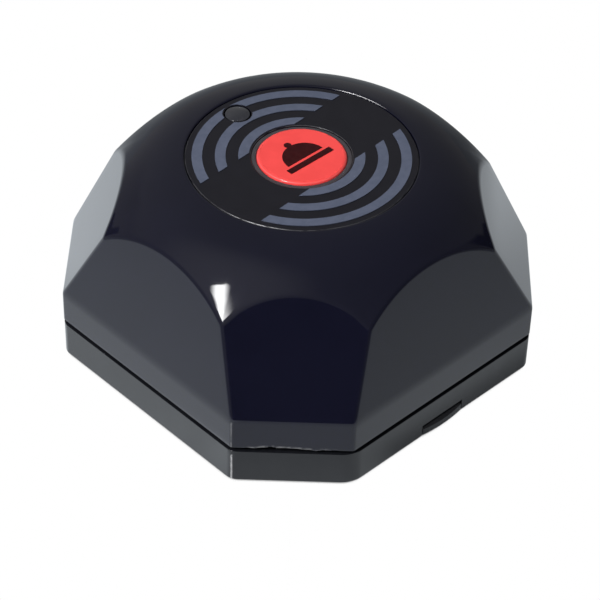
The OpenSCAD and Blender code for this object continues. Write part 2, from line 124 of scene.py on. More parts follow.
@contextmanager
def opened(obj: Piece) -> Iterator[bmesh.types.BMesh]:
    """Open a piece's mesh, and write it back at the end.

    Args:
        obj: The piece, in object mode.

    Yields:
        The mesh.
    """
    mesh = bmesh.new()
    mesh.from_mesh(obj.data)
    yield mesh
    mesh.to_mesh(obj.data)
    mesh.free()


def apply_modifiers(obj: Piece) -> None:
    """Apply every modifier of a piece, in order.

    Args:
        obj: The piece.
    """
    take(obj)
    for modifier in list(obj.modifiers):
        bpy.ops.object.modifier_apply(modifier=modifier.name)


def soften(obj: Piece, *rules: EdgeRule, segments: int = 4) -> None:
    """Round the edges of a piece, in one pass for each rule, and mark their ridges for the pale edge colour.

    Args:
        obj: The piece.
        *rules: Each gives, for an edge, how far in millimetres its rounding reaches, or 0.
        segments: Steps across each rounding.
    """
    for _ in range(ROUNDED_FACES + 1):
        obj.data.materials.append(None)
    for rule in rules:
        round_edges(obj, rule, segments)
    mark_ridges(obj, segments)


def round_edges(obj: Piece, rule: EdgeRule, segments: int) -> None:
    """Round the edges of a piece in one pass.

    Args:
        obj: The piece.
        rule: Gives, for an edge, how far in millimetres its rounding reaches, or 0.
        segments: Steps across each rounding.
    """
    with opened(obj) as mesh:
        mesh.normal_update()
        offsets = [max(0.0, rule(edge)) for edge in mesh.edges]
        widest = max(offsets)
        layers = mesh.edges.layers.float
        weight = layers.get(BEVEL_WEIGHT) or layers.new(BEVEL_WEIGHT)
        for edge, offset in zip(mesh.edges, offsets):
            edge[weight] = offset / widest
    bevel = obj.modifiers.new("soften", "BEVEL")
    bevel.limit_method = "WEIGHT"
    bevel.width = widest * MM
    bevel.segments = segments
    bevel.material = ROUNDED_FACES
    apply_modifiers(obj)


def mark_ridges(obj: Piece, segments: int) -> None:
    """Mark the ridges of the rounded edges in their own attribute, where a finish lays pale colour: wear in
    some places, painted highlights in others.

    Args:
        obj: The piece.
        segments: Steps across each rounding.
    """
    with opened(obj) as mesh:
        pale_edge = mesh.verts.layers.float.get(PALE_EDGE) or mesh.verts.layers.float.new(PALE_EDGE)
        ridge = {corner for corner in mesh.verts
                 if all(face.material_index == ROUNDED_FACES for face in corner.link_faces)}
        for _ in range(segments // 2 - 1):
            ridge = {corner for corner in ridge
                     if all(edge.other_vert(corner) in ridge for edge in corner.link_edges)}
        for corner in ridge:
            corner[pale_edge] = 1.0
        for face in mesh.faces:
            face.material_index = 0


def fold(edge: Edge) -> float:
    """Angle between an edge's two faces in degrees, or 0 on an open edge."""
    return math.degrees(edge.calc_face_angle(0.0))


def fold_over(limit: float, offset: float) -> EdgeRule:
    """A rule for soften: the same offset on every edge that folds by more than the limit in degrees."""
    return lambda edge: offset if fold(edge) > limit else 0.0


def edges_at(z: float, offset: float) -> EdgeRule:
    """Make a rule for soften: the same offset on every sharp edge at a height or over it.

    Args:
        z: The height in millimetres.
        offset: How far the rounding reaches, in millimetres.

    Returns:
        The rule.
    """
    def rule(edge: Edge) -> float:
        """Offset of one edge."""
        over = min(corner.co.z for corner in edge.verts) > (z - CLOSE) * MM
        return offset if over and fold(edge) > SHARP_FOLD else 0.0

    return rule


def copy_to(obj: Piece, name: str, shift: Vector) -> Piece:
    """Copy a finished piece with its own mesh, and move the copy's mesh.

    Args:
        obj: The piece.
        name: Name of the copy.
        shift: How far the copy moves, in millimetres.

    Returns:
        The copy.
    """
    take(obj)
    bpy.ops.object.duplicate()
    copied = new_piece(name)
    bpy.ops.object.mode_set(mode="EDIT")
    bpy.ops.mesh.select_all(action="SELECT")
    bpy.ops.transform.translate(value=shift * MM)
    bpy.ops.object.mode_set(mode="OBJECT")
    return copied


def bore(obj: Piece, radius: float, centre: Vector, low: float, high: float) -> None:
    """Bore an upright round hole through a piece, with a drill that is thrown away.

    Args:
        obj: The piece.
        radius: Radius of the hole, in millimetres.
        centre: A point on its axis, in millimetres.
        low: Height where the drill starts.
        high: Height where it ends.
    """
    drill = turned("drill", [(radius, low), (radius, high)], centre, sides=SMALL_SIDES)
    boolean = obj.modifiers.new("bore", "BOOLEAN")
    boolean.operation = "DIFFERENCE"
    boolean.solver = "EXACT"
    boolean.object = drill
    apply_modifiers(obj)
    bpy.data.objects.remove(drill)


def smooth(obj: Piece, angle: float = 35.0) -> None:
    """Shade a piece smooth, with its flat faces kept flat.

    Args:
        obj: The piece.
        angle: Folds up to this many degrees are shaded smooth.
    """
    take(obj)
    bpy.ops.object.shade_smooth_by_angle(angle=math.radians(angle))
    weighted = obj.modifiers.new("weighted", "WEIGHTED_NORMAL")
    weighted.keep_sharp = True
    apply_modifiers(obj)


@dataclass
class RingLoft:
    """A skin drawn from a circle: each ring is extruded from the last and set out on its own points."""

    name: str
    rings: list[list[Vector]]
    hollow: bool = False
    index: list[list[int]] = field(default_factory=list)

    def build(self) -> Piece:
        """Draw the skin, close it and turn its faces outwards.

        Returns:
            The piece, with its place in its mesh.
        """
        rest_selection()
        bpy.ops.mesh.primitive_circle_add(vertices=len(self.rings[0]), radius=MM, fill_type="NOTHING")
        obj = new_piece(self.name)
        bpy.ops.object.mode_set(mode="EDIT")
        bpy.ops.mesh.select_mode(type="EDGE")
        bpy.ops.mesh.select_all(action="SELECT")
        self._set_out(obj, list(range(len(self.rings[0]))), self.rings[0])
        for points in self.rings[1:]:
            bpy.ops.mesh.extrude_region_move()
            self._set_out(obj, self._extruded(obj), points)
        self._close(obj)
        bpy.ops.mesh.select_all(action="SELECT")
        bpy.ops.mesh.normals_make_consistent(inside=False)
        bpy.ops.object.mode_set(mode="OBJECT")
        return obj

    def _set_out(self, obj: Piece, ring: list[int], points: list[Vector]) -> None:
        """Put the corners of one ring on its points.

        Args:
            obj: The piece, in edit mode.
            ring: The ring's corners.
            points: A point in millimetres for each corner.
        """
        mesh = bmesh.from_edit_mesh(obj.data)
        mesh.verts.ensure_lookup_table()
        for corner, point in zip(ring, points):
            mesh.verts[corner].co = point * MM
        bmesh.update_edit_mesh(obj.data)
        self.index.append(ring)

    def _extruded(self, obj: Piece) -> list[int]:
        """Find the ring that was just extruded.

        Args:
            obj: The piece, in edit mode.

        Returns:
            The new ring's corners, in the order of the last ring.
        """
        mesh = bmesh.from_edit_mesh(obj.data)
        mesh.verts.index_update()
        mesh.verts.ensure_lookup_table()
        ring = []
        for corner in self.index[-1]:
            start = mesh.verts[corner]
            ends = [edge.other_vert(start) for edge in start.link_edges]
            ring.append(next(end.index for end in ends if end.select))
        return ring

    def _close(self, obj: Piece) -> None:
        """Bridge the first ring to the last on a hollow piece, and cap both on a solid one.

        Args:
            obj: The piece, in edit mode.
        """
        bpy.ops.mesh.select_all(action="DESELECT")
        if self.hollow:
            bpy.ops.mesh.select_non_manifold()
            bpy.ops.mesh.bridge_edge_loops()
            return
        for ring in (self.index[0], self.index[-1]):
            bpy.ops.mesh.select_all(action="DESELECT")
            mesh = bmesh.from_edit_mesh(obj.data)
            mesh.verts.ensure_lookup_table()
            for first, second in zip(ring, ring[1:] + ring[:1]):
                mesh.edges.get((mesh.verts[first], mesh.verts[second])).select_set(True)
            bpy.ops.mesh.edge_face_add()

    def along(self, ring: int) -> list[frozenset[int]]:
        """Edges that run along one ring, as pairs of corners."""
        corners = self.index[ring]
        return [frozenset(pair) for pair in zip(corners, corners[1:] + corners[:1])]

    def across(self, column: int, first: int, last: int) -> list[frozenset[int]]:
        """Edges that run across the rings from first to last at one column, as pairs of corners."""
        return [frozenset((self.index[k][column], self.index[k + 1][column])) for k in range(first, last)]


def turned(name: str, profile: Profile, centre: Vector = ORIGIN, axis: Axis = Axis.UP,
           hollow: bool = False, sides: int = 96) -> Piece:
    """Make a round piece from its half section.

    Args:
        name: Name of the piece.
        profile: Distance from the axis and place along it, point by point, in millimetres.
        centre: A point on the axis, in millimetres.
        axis: Which way the axis runs.
        hollow: Whether the section closes on itself round a bore.
        sides: Steps round the piece.

    Returns:
        The piece.
    """
    rings = []
    for radius, place in profile:
        ring = []
        for step in range(sides):
            turn = 2 * math.pi * step / sides
            across, over = radius * math.cos(turn), radius * math.sin(turn)
            local = Vector((across, over, place)) if axis is Axis.UP else Vector((place, across, over))
            ring.append(centre + local)
        rings.append(ring)
    return RingLoft(name, rings, hollow).build()


def round_corner(centre: Span, radius: float, start: float, stop: float, steps: int) -> Profile:
    """Points of an arc in a half section, by angles in degrees from the outward direction."""
    angles = [math.radians(start + (stop - start) * k / steps) for k in range(steps + 1)]
    return [(centre[0] + radius * math.cos(a), centre[1] + radius * math.sin(a)) for a in angles]


def casting(name: str, node: str) -> Piece:
    """Copy a CAD node as one closed skin with whole flat faces.

    Args:
        name: Name of the copy.
        node: The CAD node.

    Returns:
        The copy.
    """
    rest_selection()
    obj = bpy.data.objects.new(name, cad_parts[node].data.copy())
    bpy.context.scene.collection.objects.link(obj)
    obj.data.name = name
    obj.data.materials.clear()
    take(obj)
    bpy.ops.mesh.customdata_custom_splitnormals_clear()
    bpy.ops.object.mode_set(mode="EDIT")
    bpy.ops.mesh.select_all(action="SELECT")
    bpy.ops.mesh.remove_doubles(threshold=WELD_REACH * MM)
    bpy.ops.mesh.dissolve_limited(angle_limit=math.radians(FLAT_FOLD))
    bpy.ops.object.mode_set(mode="OBJECT")
    return obj


# Finishes

class NodeSheet:
    """The nodes of one material or world, added and joined with short calls."""

    def __init__(self, tree: bpy.types.NodeTree) -> None:
        """Start from an empty tree."""
        self.tree = tree
        tree.nodes.clear()

    def add(self, kind: str, inputs: dict | None = None, **settings: object) -> bpy.types.Node:
        """Add a node.

        Args:
            kind: Blender's name of the node type.
            inputs: Value or socket for each input, by name or number.
            **settings: Properties of the node.

        Returns:
            The node.
        """
        node = self.tree.nodes.new(kind)
        for key, value in settings.items():
            setattr(node, key, value)
        for key, value in (inputs or {}).items():
            if isinstance(value, Socket):
                self.tree.links.new(value, node.inputs[key])
            else:
                node.inputs[key].default_value = value
        return node

    def place(self) -> Socket:
        """Object coordinates, which are the frame's own metres."""
        return self.add("ShaderNodeTexCoord").outputs["Object"]

    def noise(self, size: float, detail: float = 3.0, stretch: Triple = (1.0, 1.0, 1.0)) -> Socket:
        """Make a noise.

        Args:
            size: Size of its blotches, in millimetres.
            detail: How many finer layers it has.
            stretch: How far it is drawn out along each axis.

        Returns:
            The noise at each point, from 0 to 1.
        """
        drawn = {"Vector": self.place(), "Scale": tuple(1 / s for s in stretch)}
        mapped = self.add("ShaderNodeMapping", drawn)
        values = {"Vector": mapped.outputs[0], "Scale": 1 / (size * MM), "Detail": detail}
        return self.add("ShaderNodeTexNoise", values).outputs["Fac"]

    def band(self, value: Socket, low: float, high: float, start: float = 0.0, end: float = 1.0) -> Socket:
        """Take a value smoothly from start, where it is low, to end, where it is high, held beyond both."""
        values = {"Value": value, "From Min": low, "From Max": high, "To Min": start, "To Max": end}
        return self.add("ShaderNodeMapRange", values, interpolation_type="SMOOTHSTEP").outputs["Result"]

    def maths(self, operation: str, first: object, second: object = 0.0) -> Socket:
        """One step of arithmetic."""
        return self.add("ShaderNodeMath", {0: first, 1: second}, operation=operation).outputs[0]

    def chain(self, operation: str, values: Iterable[object]) -> Socket:
        """Join values one after another by one kind of arithmetic.

        Args:
            operation: Blender's name of the arithmetic.
            values: The values, one or more.

        Returns:
            What they come to.
        """
        joined, *others = values
        for other in others:
            joined = self.maths(operation, joined, other)
        return joined

    def product(self, *values: object) -> Socket:
        """All the values multiplied."""
        return self.chain("MULTIPLY", values)

    def rest_of(self, share: object) -> Socket:
        """What a share leaves of 1."""
        return self.maths("SUBTRACT", 1.0, share)

    def along(self, vector: Socket, direction: Triple) -> Socket:
        """How far a vector reaches along a direction."""
        values = {0: vector, 1: direction}
        return self.add("ShaderNodeVectorMath", values, operation="DOT_PRODUCT").outputs["Value"]

    def blend(self, share: object, first: object, second: object) -> Socket:
        """Make a colour between two.

        Args:
            share: How much of the second, from 0 to 1.
            first: A colour or a socket.
            second: A colour or a socket.

        Returns:
            The colour at each point.
        """
        full = [(*colour, 1.0) if isinstance(colour, tuple) else colour for colour in (first, second)]
        values = {MIX_SHARE: share, MIX_FIRST: full[0], MIX_SECOND: full[1]}
        return self.add("ShaderNodeMix", values, data_type="RGBA").outputs[MIX_RESULT]

    def chance(self, cells: bpy.types.Node) -> Socket:
        """A number from 0 to 1 that is the same all over one cell of a Voronoi pattern."""
        return self.add("ShaderNodeSeparateColor", {"Color": cells.outputs["Color"]}).outputs[0]

    def relief(self, height: Socket, depth: float, under: Socket | None = None) -> Socket:
        """Make a surface direction from a height pattern.

        Args:
            height: The pattern.
            depth: Its depth in millimetres.
            under: A surface direction that it lies on.

        Returns:
            The direction at each point.
        """
        values = {"Height": height, "Distance": depth * MM, "Strength": 1.0}
        if under is not None:
            values["Normal"] = under
        return self.add("ShaderNodeBump", values).outputs["Normal"]

    def surface(self, shader: bpy.types.Node) -> None:
        """Make a shader the material's surface."""
        self.add("ShaderNodeOutputMaterial", {"Surface": shader.outputs[0]})


def new_material(name: str) -> tuple[bpy.types.Material, NodeSheet]:
    """Start a material.

    Args:
        name: Name of the material.

    Returns:
        The material, and its empty sheet of nodes.
    """
    material = bpy.data.materials.new(name)
    material.use_nodes = True
    return material, NodeSheet(material.node_tree)


@dataclass(frozen=True)
class Finish:
    """A moulded, rolled or printed surface: two close colours in blotches, uneven gloss and a fine grain."""

    slot: str
    colour: Colour
    shade: Colour
    blotch: float = 6.0
    rough: Span = (0.3, 0.4)
    rough_size: float = 3.0
    grain: float = 0.2
    grain_depth: float = 0.002
    metallic: float = 0.0
    coat: float = 0.0
    shine: float = 0.5
    BLOTCH_SPAN: ClassVar[Span] = (0.35, 0.65)
    ROUGH_SPAN: ClassVar[Span] = (0.3, 0.7)
    ROUGH_DETAIL: ClassVar[float] = 4.0
    GRAIN_DETAIL: ClassVar[float] = 2.0

    def colour_of(self, sheet: NodeSheet) -> Socket:
        """Colour at each point."""
        return sheet.blend(sheet.band(sheet.noise(self.blotch), *self.BLOTCH_SPAN), self.colour, self.shade)

    def rough_of(self, sheet: NodeSheet) -> Socket:
        """Roughness at each point."""
        return sheet.band(sheet.noise(self.rough_size, self.ROUGH_DETAIL), *self.ROUGH_SPAN, *self.rough)

    def relief_of(self, sheet: NodeSheet) -> Socket:
        """Surface direction at each point."""
        return sheet.relief(sheet.noise(self.grain, self.GRAIN_DETAIL), self.grain_depth)

    def material(self) -> bpy.types.Material:
        """Build the finish's material.

        Returns:
            The material.
        """
        material, sheet = new_material(self.slot)
        values = {"Base Color": self.colour_of(sheet), "Roughness": self.rough_of(sheet),
                  "Normal": self.relief_of(sheet), "Metallic": self.metallic, "Coat Weight": self.coat,
                  "Specular IOR Level": self.shine}
        sheet.surface(sheet.add("ShaderNodeBsdfPrincipled", values))
        return material


@dataclass(frozen=True)
class EdgeWearAndGlint:
    """A place in millimetres round which the ridges of rounded edges are drawn pale, in patches and up to a
    height: wear at some places, painted highlights at others.

    The pale colour is full up to near from the spot, and falls to elsewhere at far.
    """

    colour: Colour
    spot: Triple
    near: float
    far: float
    elsewhere: float = 0.0
    top: float = 40.0
    top_fade: float = 0.2
    patch: float = 1.2
    patchy: Span = (0.3, 0.5)

    def share_of(self, sheet: NodeSheet) -> Socket:
        """Work out how much of the pale edge colour shows.

        Args:
            sheet: The material's nodes.

        Returns:
            The share at each point.
        """
        pale_edge = sheet.add("ShaderNodeAttribute", attribute_name=PALE_EDGE).outputs["Fac"]
        height = sheet.along(sheet.place(), UP)
        low = sheet.band(height, (self.top - self.top_fade) * MM, self.top * MM, 1.0, 0.0)
        ends = {0: sheet.place(), 1: tuple(c * MM for c in self.spot)}
        away = sheet.add("ShaderNodeVectorMath", ends, operation="DISTANCE").outputs["Value"]
        close = sheet.band(away, self.near * MM, self.far * MM, 1.0, self.elsewhere)
        patches = sheet.band(sheet.noise(self.patch), *self.patchy)
        return sheet.product(pale_edge, low, close, patches)


@dataclass(frozen=True)
class MouldedFinish(Finish):
    """Moulded plastic whose rounded edges are drawn pale in places: wear at some, painted highlights at
    others.
    """

    wear_and_glints: tuple[EdgeWearAndGlint, ...] = ()

    def colour_of(self, sheet: NodeSheet) -> Socket:
        """Lay the pale edge marks, wear and painted highlights, over the plain colour.

        Args:
            sheet: The material's nodes.

        Returns:
            The colour at each point.
        """
        colour = super().colour_of(sheet)
        for edge_mark in self.wear_and_glints:
            colour = sheet.blend(edge_mark.share_of(sheet), colour, edge_mark.colour)
        return colour


@dataclass(frozen=True)
class PolishedFinish(MouldedFinish):
    """Polished plastic: faint waves from the mould, wiped smears and a few specks of dust."""

    smear: float = 14.0
    smear_detail: float = 5.0
    smear_stretch: Triple = (1.0, 2.5, 1.0)
    smear_span: Span = (0.55, 0.75)
    smear_rough: float = 0.05
    dust_cell: float = 5.0
    dust_size: float = 0.016
    dust_fade: float = 1.6
    dust_share: float = 0.1
    dust_rough: float = 0.8
    dust: Colour = (0.25, 0.25, 0.26)
    wave: float = 9.0
    wave_detail: float = 1.0
    wave_depth: float = 0.002

    def specks(self, sheet: NodeSheet) -> Socket:
        """Scatter the specks of dust.

        Args:
            sheet: The material's nodes.

        Returns:
            1 on a speck, 0 elsewhere.
        """
        values = {"Vector": sheet.place(), "Scale": 1 / (self.dust_cell * MM)}
        cells = sheet.add("ShaderNodeTexVoronoi", values)
        edge = (self.dust_size, self.dust_size * self.dust_fade)
        near = sheet.band(cells.outputs["Distance"], *edge, 1.0, 0.0)
        return sheet.product(near, sheet.maths("LESS_THAN", sheet.chance(cells), self.dust_share))

    def colour_of(self, sheet: NodeSheet) -> Socket:
        """Colour at each point."""
        return sheet.blend(self.specks(sheet), super().colour_of(sheet), self.dust)

    def rough_of(self, sheet: NodeSheet) -> Socket:
        """Add the smears and the dust to the plain roughness.

        Args:
            sheet: The material's nodes.

        Returns:
            The roughness at each point.
        """
        wiped = sheet.noise(self.smear, self.smear_detail, self.smear_stretch)
        smears = sheet.band(wiped, *self.smear_span, 0.0, self.smear_rough)
        smeared = sheet.maths("ADD", super().rough_of(sheet), smears)
        return sheet.maths("MAXIMUM", smeared, sheet.product(self.specks(sheet), self.dust_rough))

    def relief_of(self, sheet: NodeSheet) -> Socket:
        """Surface direction at each point."""
        waves = sheet.relief(sheet.noise(self.wave, self.wave_detail), self.wave_depth)
        return sheet.relief(sheet.noise(self.grain, self.GRAIN_DETAIL), self.grain_depth, waves)


@dataclass(frozen=True)
class BoardFinish(Finish):
    """Lacquered circuit board: copper runs stand a little proud and lighter under the lacquer."""

    run: Colour = (0.017, 0.128, 0.045)
    run_half: float = 0.2
    run_edge: float = 0.03
    run_height: float = 0.03
    pitch: float = 1.1
    block: float = 9.0
    across_share: float = 0.3
    covered_share: float = 0.6

    def runs(self, sheet: NodeSheet) -> Socket:
        """Lay the runs in blocks: some with runs along x, some along y and some bare.

        Args:
            sheet: The material's nodes.

        Returns:
            1 on a copper run, 0 between.
        """
        place = sheet.place()
        values = {"Vector": place, "Scale": 1 / (self.block * MM)}
        pick = sheet.chance(sheet.add("ShaderNodeTexVoronoi", values, distance="CHEBYCHEV"))
        x, y = sheet.along(place, X_AXIS), sheet.along(place, Y_AXIS)
        across = sheet.maths("LESS_THAN", pick, self.across_share)
        measured = sheet.maths("ADD", sheet.product(across, x), sheet.product(sheet.rest_of(across), y))
        from_middle = sheet.maths("PINGPONG", measured, self.pitch / 2 * MM)
        near = sheet.band(from_middle, self.run_half * MM, (self.run_half + self.run_edge) * MM, 1.0, 0.0)
        return sheet.product(near, sheet.maths("LESS_THAN", pick, self.covered_share))

    def colour_of(self, sheet: NodeSheet) -> Socket:
        """Colour at each point."""
        return sheet.blend(self.runs(sheet), super().colour_of(sheet), self.run)

    def relief_of(self, sheet: NodeSheet) -> Socket:
        """Surface direction at each point."""
        return sheet.relief(self.runs(sheet), self.run_height, super().relief_of(sheet))


@dataclass(frozen=True)
class WrapFinish(Finish):
    """Printed wrap of a battery: one plain colour with a pale band near its positive end."""

    band_from: float = 7.0
    band_to: float = 11.5
    band_colour: Colour = (0.55, 0.56, 0.58)

    def colour_of(self, sheet: NodeSheet) -> Socket:
        """Lay the pale band over the plain colour.

        Args:
            sheet: The material's nodes.

        Returns:
            The colour at each point.
        """
        along = sheet.along(sheet.place(), X_AXIS)
        after = sheet.maths("GREATER_THAN", along, self.band_from * MM)
        before = sheet.maths("LESS_THAN", along, self.band_to * MM)
        return sheet.blend(sheet.product(after, before), super().colour_of(sheet), self.band_colour)


@dataclass(frozen=True)
class BrushedFinish(Finish):
    """Rolled or turned metal with fine lines along one way."""

    lines: Triple = (12.0, 1.0, 1.0)
    LINE_DETAIL: ClassVar[float] = 3.0

    def relief_of(self, sheet: NodeSheet) -> Socket:
        """Surface direction at each point."""
        return sheet.relief(sheet.noise(self.grain, self.LINE_DETAIL, self.lines), self.grain_depth)

    def rough_of(self, sheet: NodeSheet) -> Socket:
        """Roughness at each point."""
        lines = sheet.noise(self.rough_size, self.LINE_DETAIL, self.lines)
        return sheet.band(lines, *self.ROUGH_SPAN, *self.rough)


# centre of the paler rounded edges near the front-left corner
FRONT_CORNER: Triple = (-33.0, -24.0, 7.0)
# centre of a painted highlight: the side lamp's glint on the recess lip behind the film
LIP_GLINT: Triple = (18.7, 5.0, 36.6)
# centre of a painted highlight: the side lamp's glint on the film's front edge
FILM_GLINT: Triple = (-17.9, -7.3, 36.5)
# centre of a painted highlight: the side lamp's glint on the cap's front-left edge
CAP_GLINT: Triple = (-6.9, -2.7, 36.7)

FINISHES: list[Finish] = [
    PolishedFinish("cover_gloss", (0.0030, 0.0032, 0.0100), (0.0038, 0.0040, 0.0116), blotch=18.0,
                   rough=(0.03, 0.05), rough_size=5.0, grain=0.6, grain_depth=0.00008,
                   # rounded edges near the front-left corner drawn paler below the rim's top; this colour
                   # also marks the front seam's burr
                   wear_and_glints=(EdgeWearAndGlint((0.10, 0.10, 0.105), FRONT_CORNER, near=6.0, far=15.0, top=13.2),
                         # painted highlight: the recess lip's rounded edge behind the film drawn pale where
                         # the side lamp glints
                         EdgeWearAndGlint((0.55, 0.55, 0.56), LIP_GLINT, near=1.5, far=6.0, patchy=(0.2, 0.4)))),
    MouldedFinish("base_black", (0.0070, 0.0075, 0.0100), (0.0090, 0.0096, 0.0122), blotch=5.0,
                  rough=(0.14, 0.24), rough_size=2.5, grain=0.16, grain_depth=0.0016,
                  # rounded edges near the front-left corner drawn paler
                  wear_and_glints=(EdgeWearAndGlint((0.36, 0.36, 0.37), FRONT_CORNER, near=6.0, far=15.0, top=6.2),)),
    MouldedFinish("overlay_film", (0.0026, 0.0024, 0.0060), (0.0036, 0.0034, 0.0074), blotch=3.0,
                  rough=(0.285, 0.365), rough_size=4.0, grain=0.14, grain_depth=0.0004, coat=0.3, shine=0.4,
                  # the film's cut edge drawn pale all round, and paler round its front as a painted highlight
                  # of the side lamp's glint
                  wear_and_glints=(EdgeWearAndGlint((0.4, 0.4, 0.41), FILM_GLINT, near=2.5, far=7.0, elsewhere=0.17, patch=2.0),)),
    Finish("wave_ink", (0.074, 0.088, 0.132), (0.086, 0.100, 0.148), blotch=1.2,
           rough=(0.30, 0.42), rough_size=1.5, grain=0.10, grain_depth=0.0004),
    Finish("ring_grey", (0.044, 0.040, 0.046), (0.052, 0.047, 0.053), blotch=2.0,
           rough=(0.28, 0.36), rough_size=1.0, grain=0.12, grain_depth=0.0012),
    MouldedFinish("button_red", (0.87, 0.071, 0.067), (0.82, 0.064, 0.060), blotch=4.0,
                  rough=(0.12, 0.2), rough_size=2.0, grain=0.12, grain_depth=0.0006,
                  # painted highlight: the cap's rounded top edge drawn pale pink all round, brightest at its
                  # front-left glint
                  wear_and_glints=(EdgeWearAndGlint((0.9, 0.14, 0.14), CAP_GLINT, near=1.0, far=4.0, elsewhere=0.6,
                            patchy=(0.2, 0.4)),)),
    Finish("mark_ink", (0.026, 0.002, 0.003), (0.034, 0.003, 0.004), blotch=1.0,
           rough=(0.45, 0.6), rough_size=0.8, grain=0.08, grain_depth=0.0004, shine=0.2),
    Finish("led_smoke", (0.018, 0.019, 0.025), (0.024, 0.025, 0.031), blotch=1.5,
           rough=(0.18, 0.26), rough_size=1.0, grain=0.3, grain_depth=0.0004, coat=0.6),
    BrushedFinish("pin_tin", (0.62, 0.61, 0.58), (0.52, 0.51, 0.49), blotch=1.0,
                  rough=(0.28, 0.45), rough_size=0.6, grain=0.08, grain_depth=0.001, metallic=1.0),
    Finish("spacer_nylon", (0.68, 0.66, 0.60), (0.62, 0.60, 0.54), blotch=2.0,
           rough=(0.35, 0.5), rough_size=1.5, grain=0.15, grain_depth=0.002),
    BoardFinish("board_green", (0.010, 0.085, 0.030), (0.013, 0.100, 0.036), blotch=8.0,
                rough=(0.28, 0.38), rough_size=3.0, grain=0.2, grain_depth=0.001),
    Finish("part_black", (0.014, 0.014, 0.015), (0.020, 0.020, 0.021), blotch=1.2,
           rough=(0.45, 0.6), rough_size=1.0, grain=0.06, grain_depth=0.0012),
    BrushedFinish("can_metal", (0.62, 0.59, 0.52), (0.54, 0.51, 0.45), blotch=2.0,
                  rough=(0.28, 0.38), rough_size=1.0, grain=0.1, grain_depth=0.001, metallic=1.0),
    Finish("chip_ceramic", (0.16, 0.12, 0.09), (0.05, 0.045, 0.042), blotch=0.9,
           rough=(0.4, 0.55), rough_size=0.6, grain=0.05, grain_depth=0.001),
    WrapFinish("cell_label", (0.020, 0.032, 0.085), (0.026, 0.040, 0.100), blotch=4.0,
               rough=(0.17, 0.26), rough_size=2.0, grain=0.2, grain_depth=0.0008),
    BrushedFinish("contact_steel", (0.64, 0.62, 0.58), (0.55, 0.53, 0.50), blotch=1.5,
                  rough=(0.28, 0.42), rough_size=0.8, grain=0.1, grain_depth=0.001, metallic=1.0),
    Finish("foam_grey", (0.055, 0.055, 0.058), (0.030, 0.030, 0.032), blotch=0.35,
           rough=(0.85, 0.95), rough_size=0.5, grain=0.3, grain_depth=0.12),
    BrushedFinish("screw_steel", (0.56, 0.56, 0.57), (0.46, 0.46, 0.47), blotch=1.0,
                  rough=(0.28, 0.42), rough_size=0.6, grain=0.1, grain_depth=0.001, metallic=1.0),
    Finish("foot_rubber", (0.013, 0.013, 0.013), (0.024, 0.024, 0.023), blotch=1.6,
           rough=(0.6, 0.8), rough_size=1.0, grain=0.12, grain_depth=0.006),
]


class Paints:
    """The materials, one for each slot of the record."""

    def __init__(self, finishes: Iterable[Finish]) -> None:
        """Build every material once."""
        self.by_slot = {finish.slot: finish.material() for finish in finishes}

    def dress(self, obj: Piece, slot: str) -> None:
        """Give an object one slot's material."""
        obj.data.materials.clear()
        obj.data.materials.append(self.by_slot[slot])

    def dress_nodes(self, slot: str, *nodes: str) -> None:
        """Give CAD nodes that stay as they are one slot's material.

        Args:
            slot: The slot.
            *nodes: The nodes.
        """
        for node in nodes:
            self.dress(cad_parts[node], slot)
            LOG.info("node %s dressed as %s", node, slot)

    def stand_in(self, obj: Piece, body: str, slot: str, *nodes: str) -> None:
        """Let a modelled piece stand for CAD nodes.

        Args:
            obj: The piece.
            body: The body it rides on.
            slot: The record's slot that it takes its finish from.
            *nodes: The nodes that it replaces.
        """
        self.dress(obj, slot)
        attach(obj, body)
        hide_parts(*nodes)
        LOG.info("piece %s rides %s for %s", obj.name, body, ", ".join(nodes))


# Sub-assemblies

class Column(NamedTuple):
    """One column of the cover's skin: its side, share of that side, angle about the axis and arch's slope."""

    side: int
    share: float
    turn: float
    arch: float


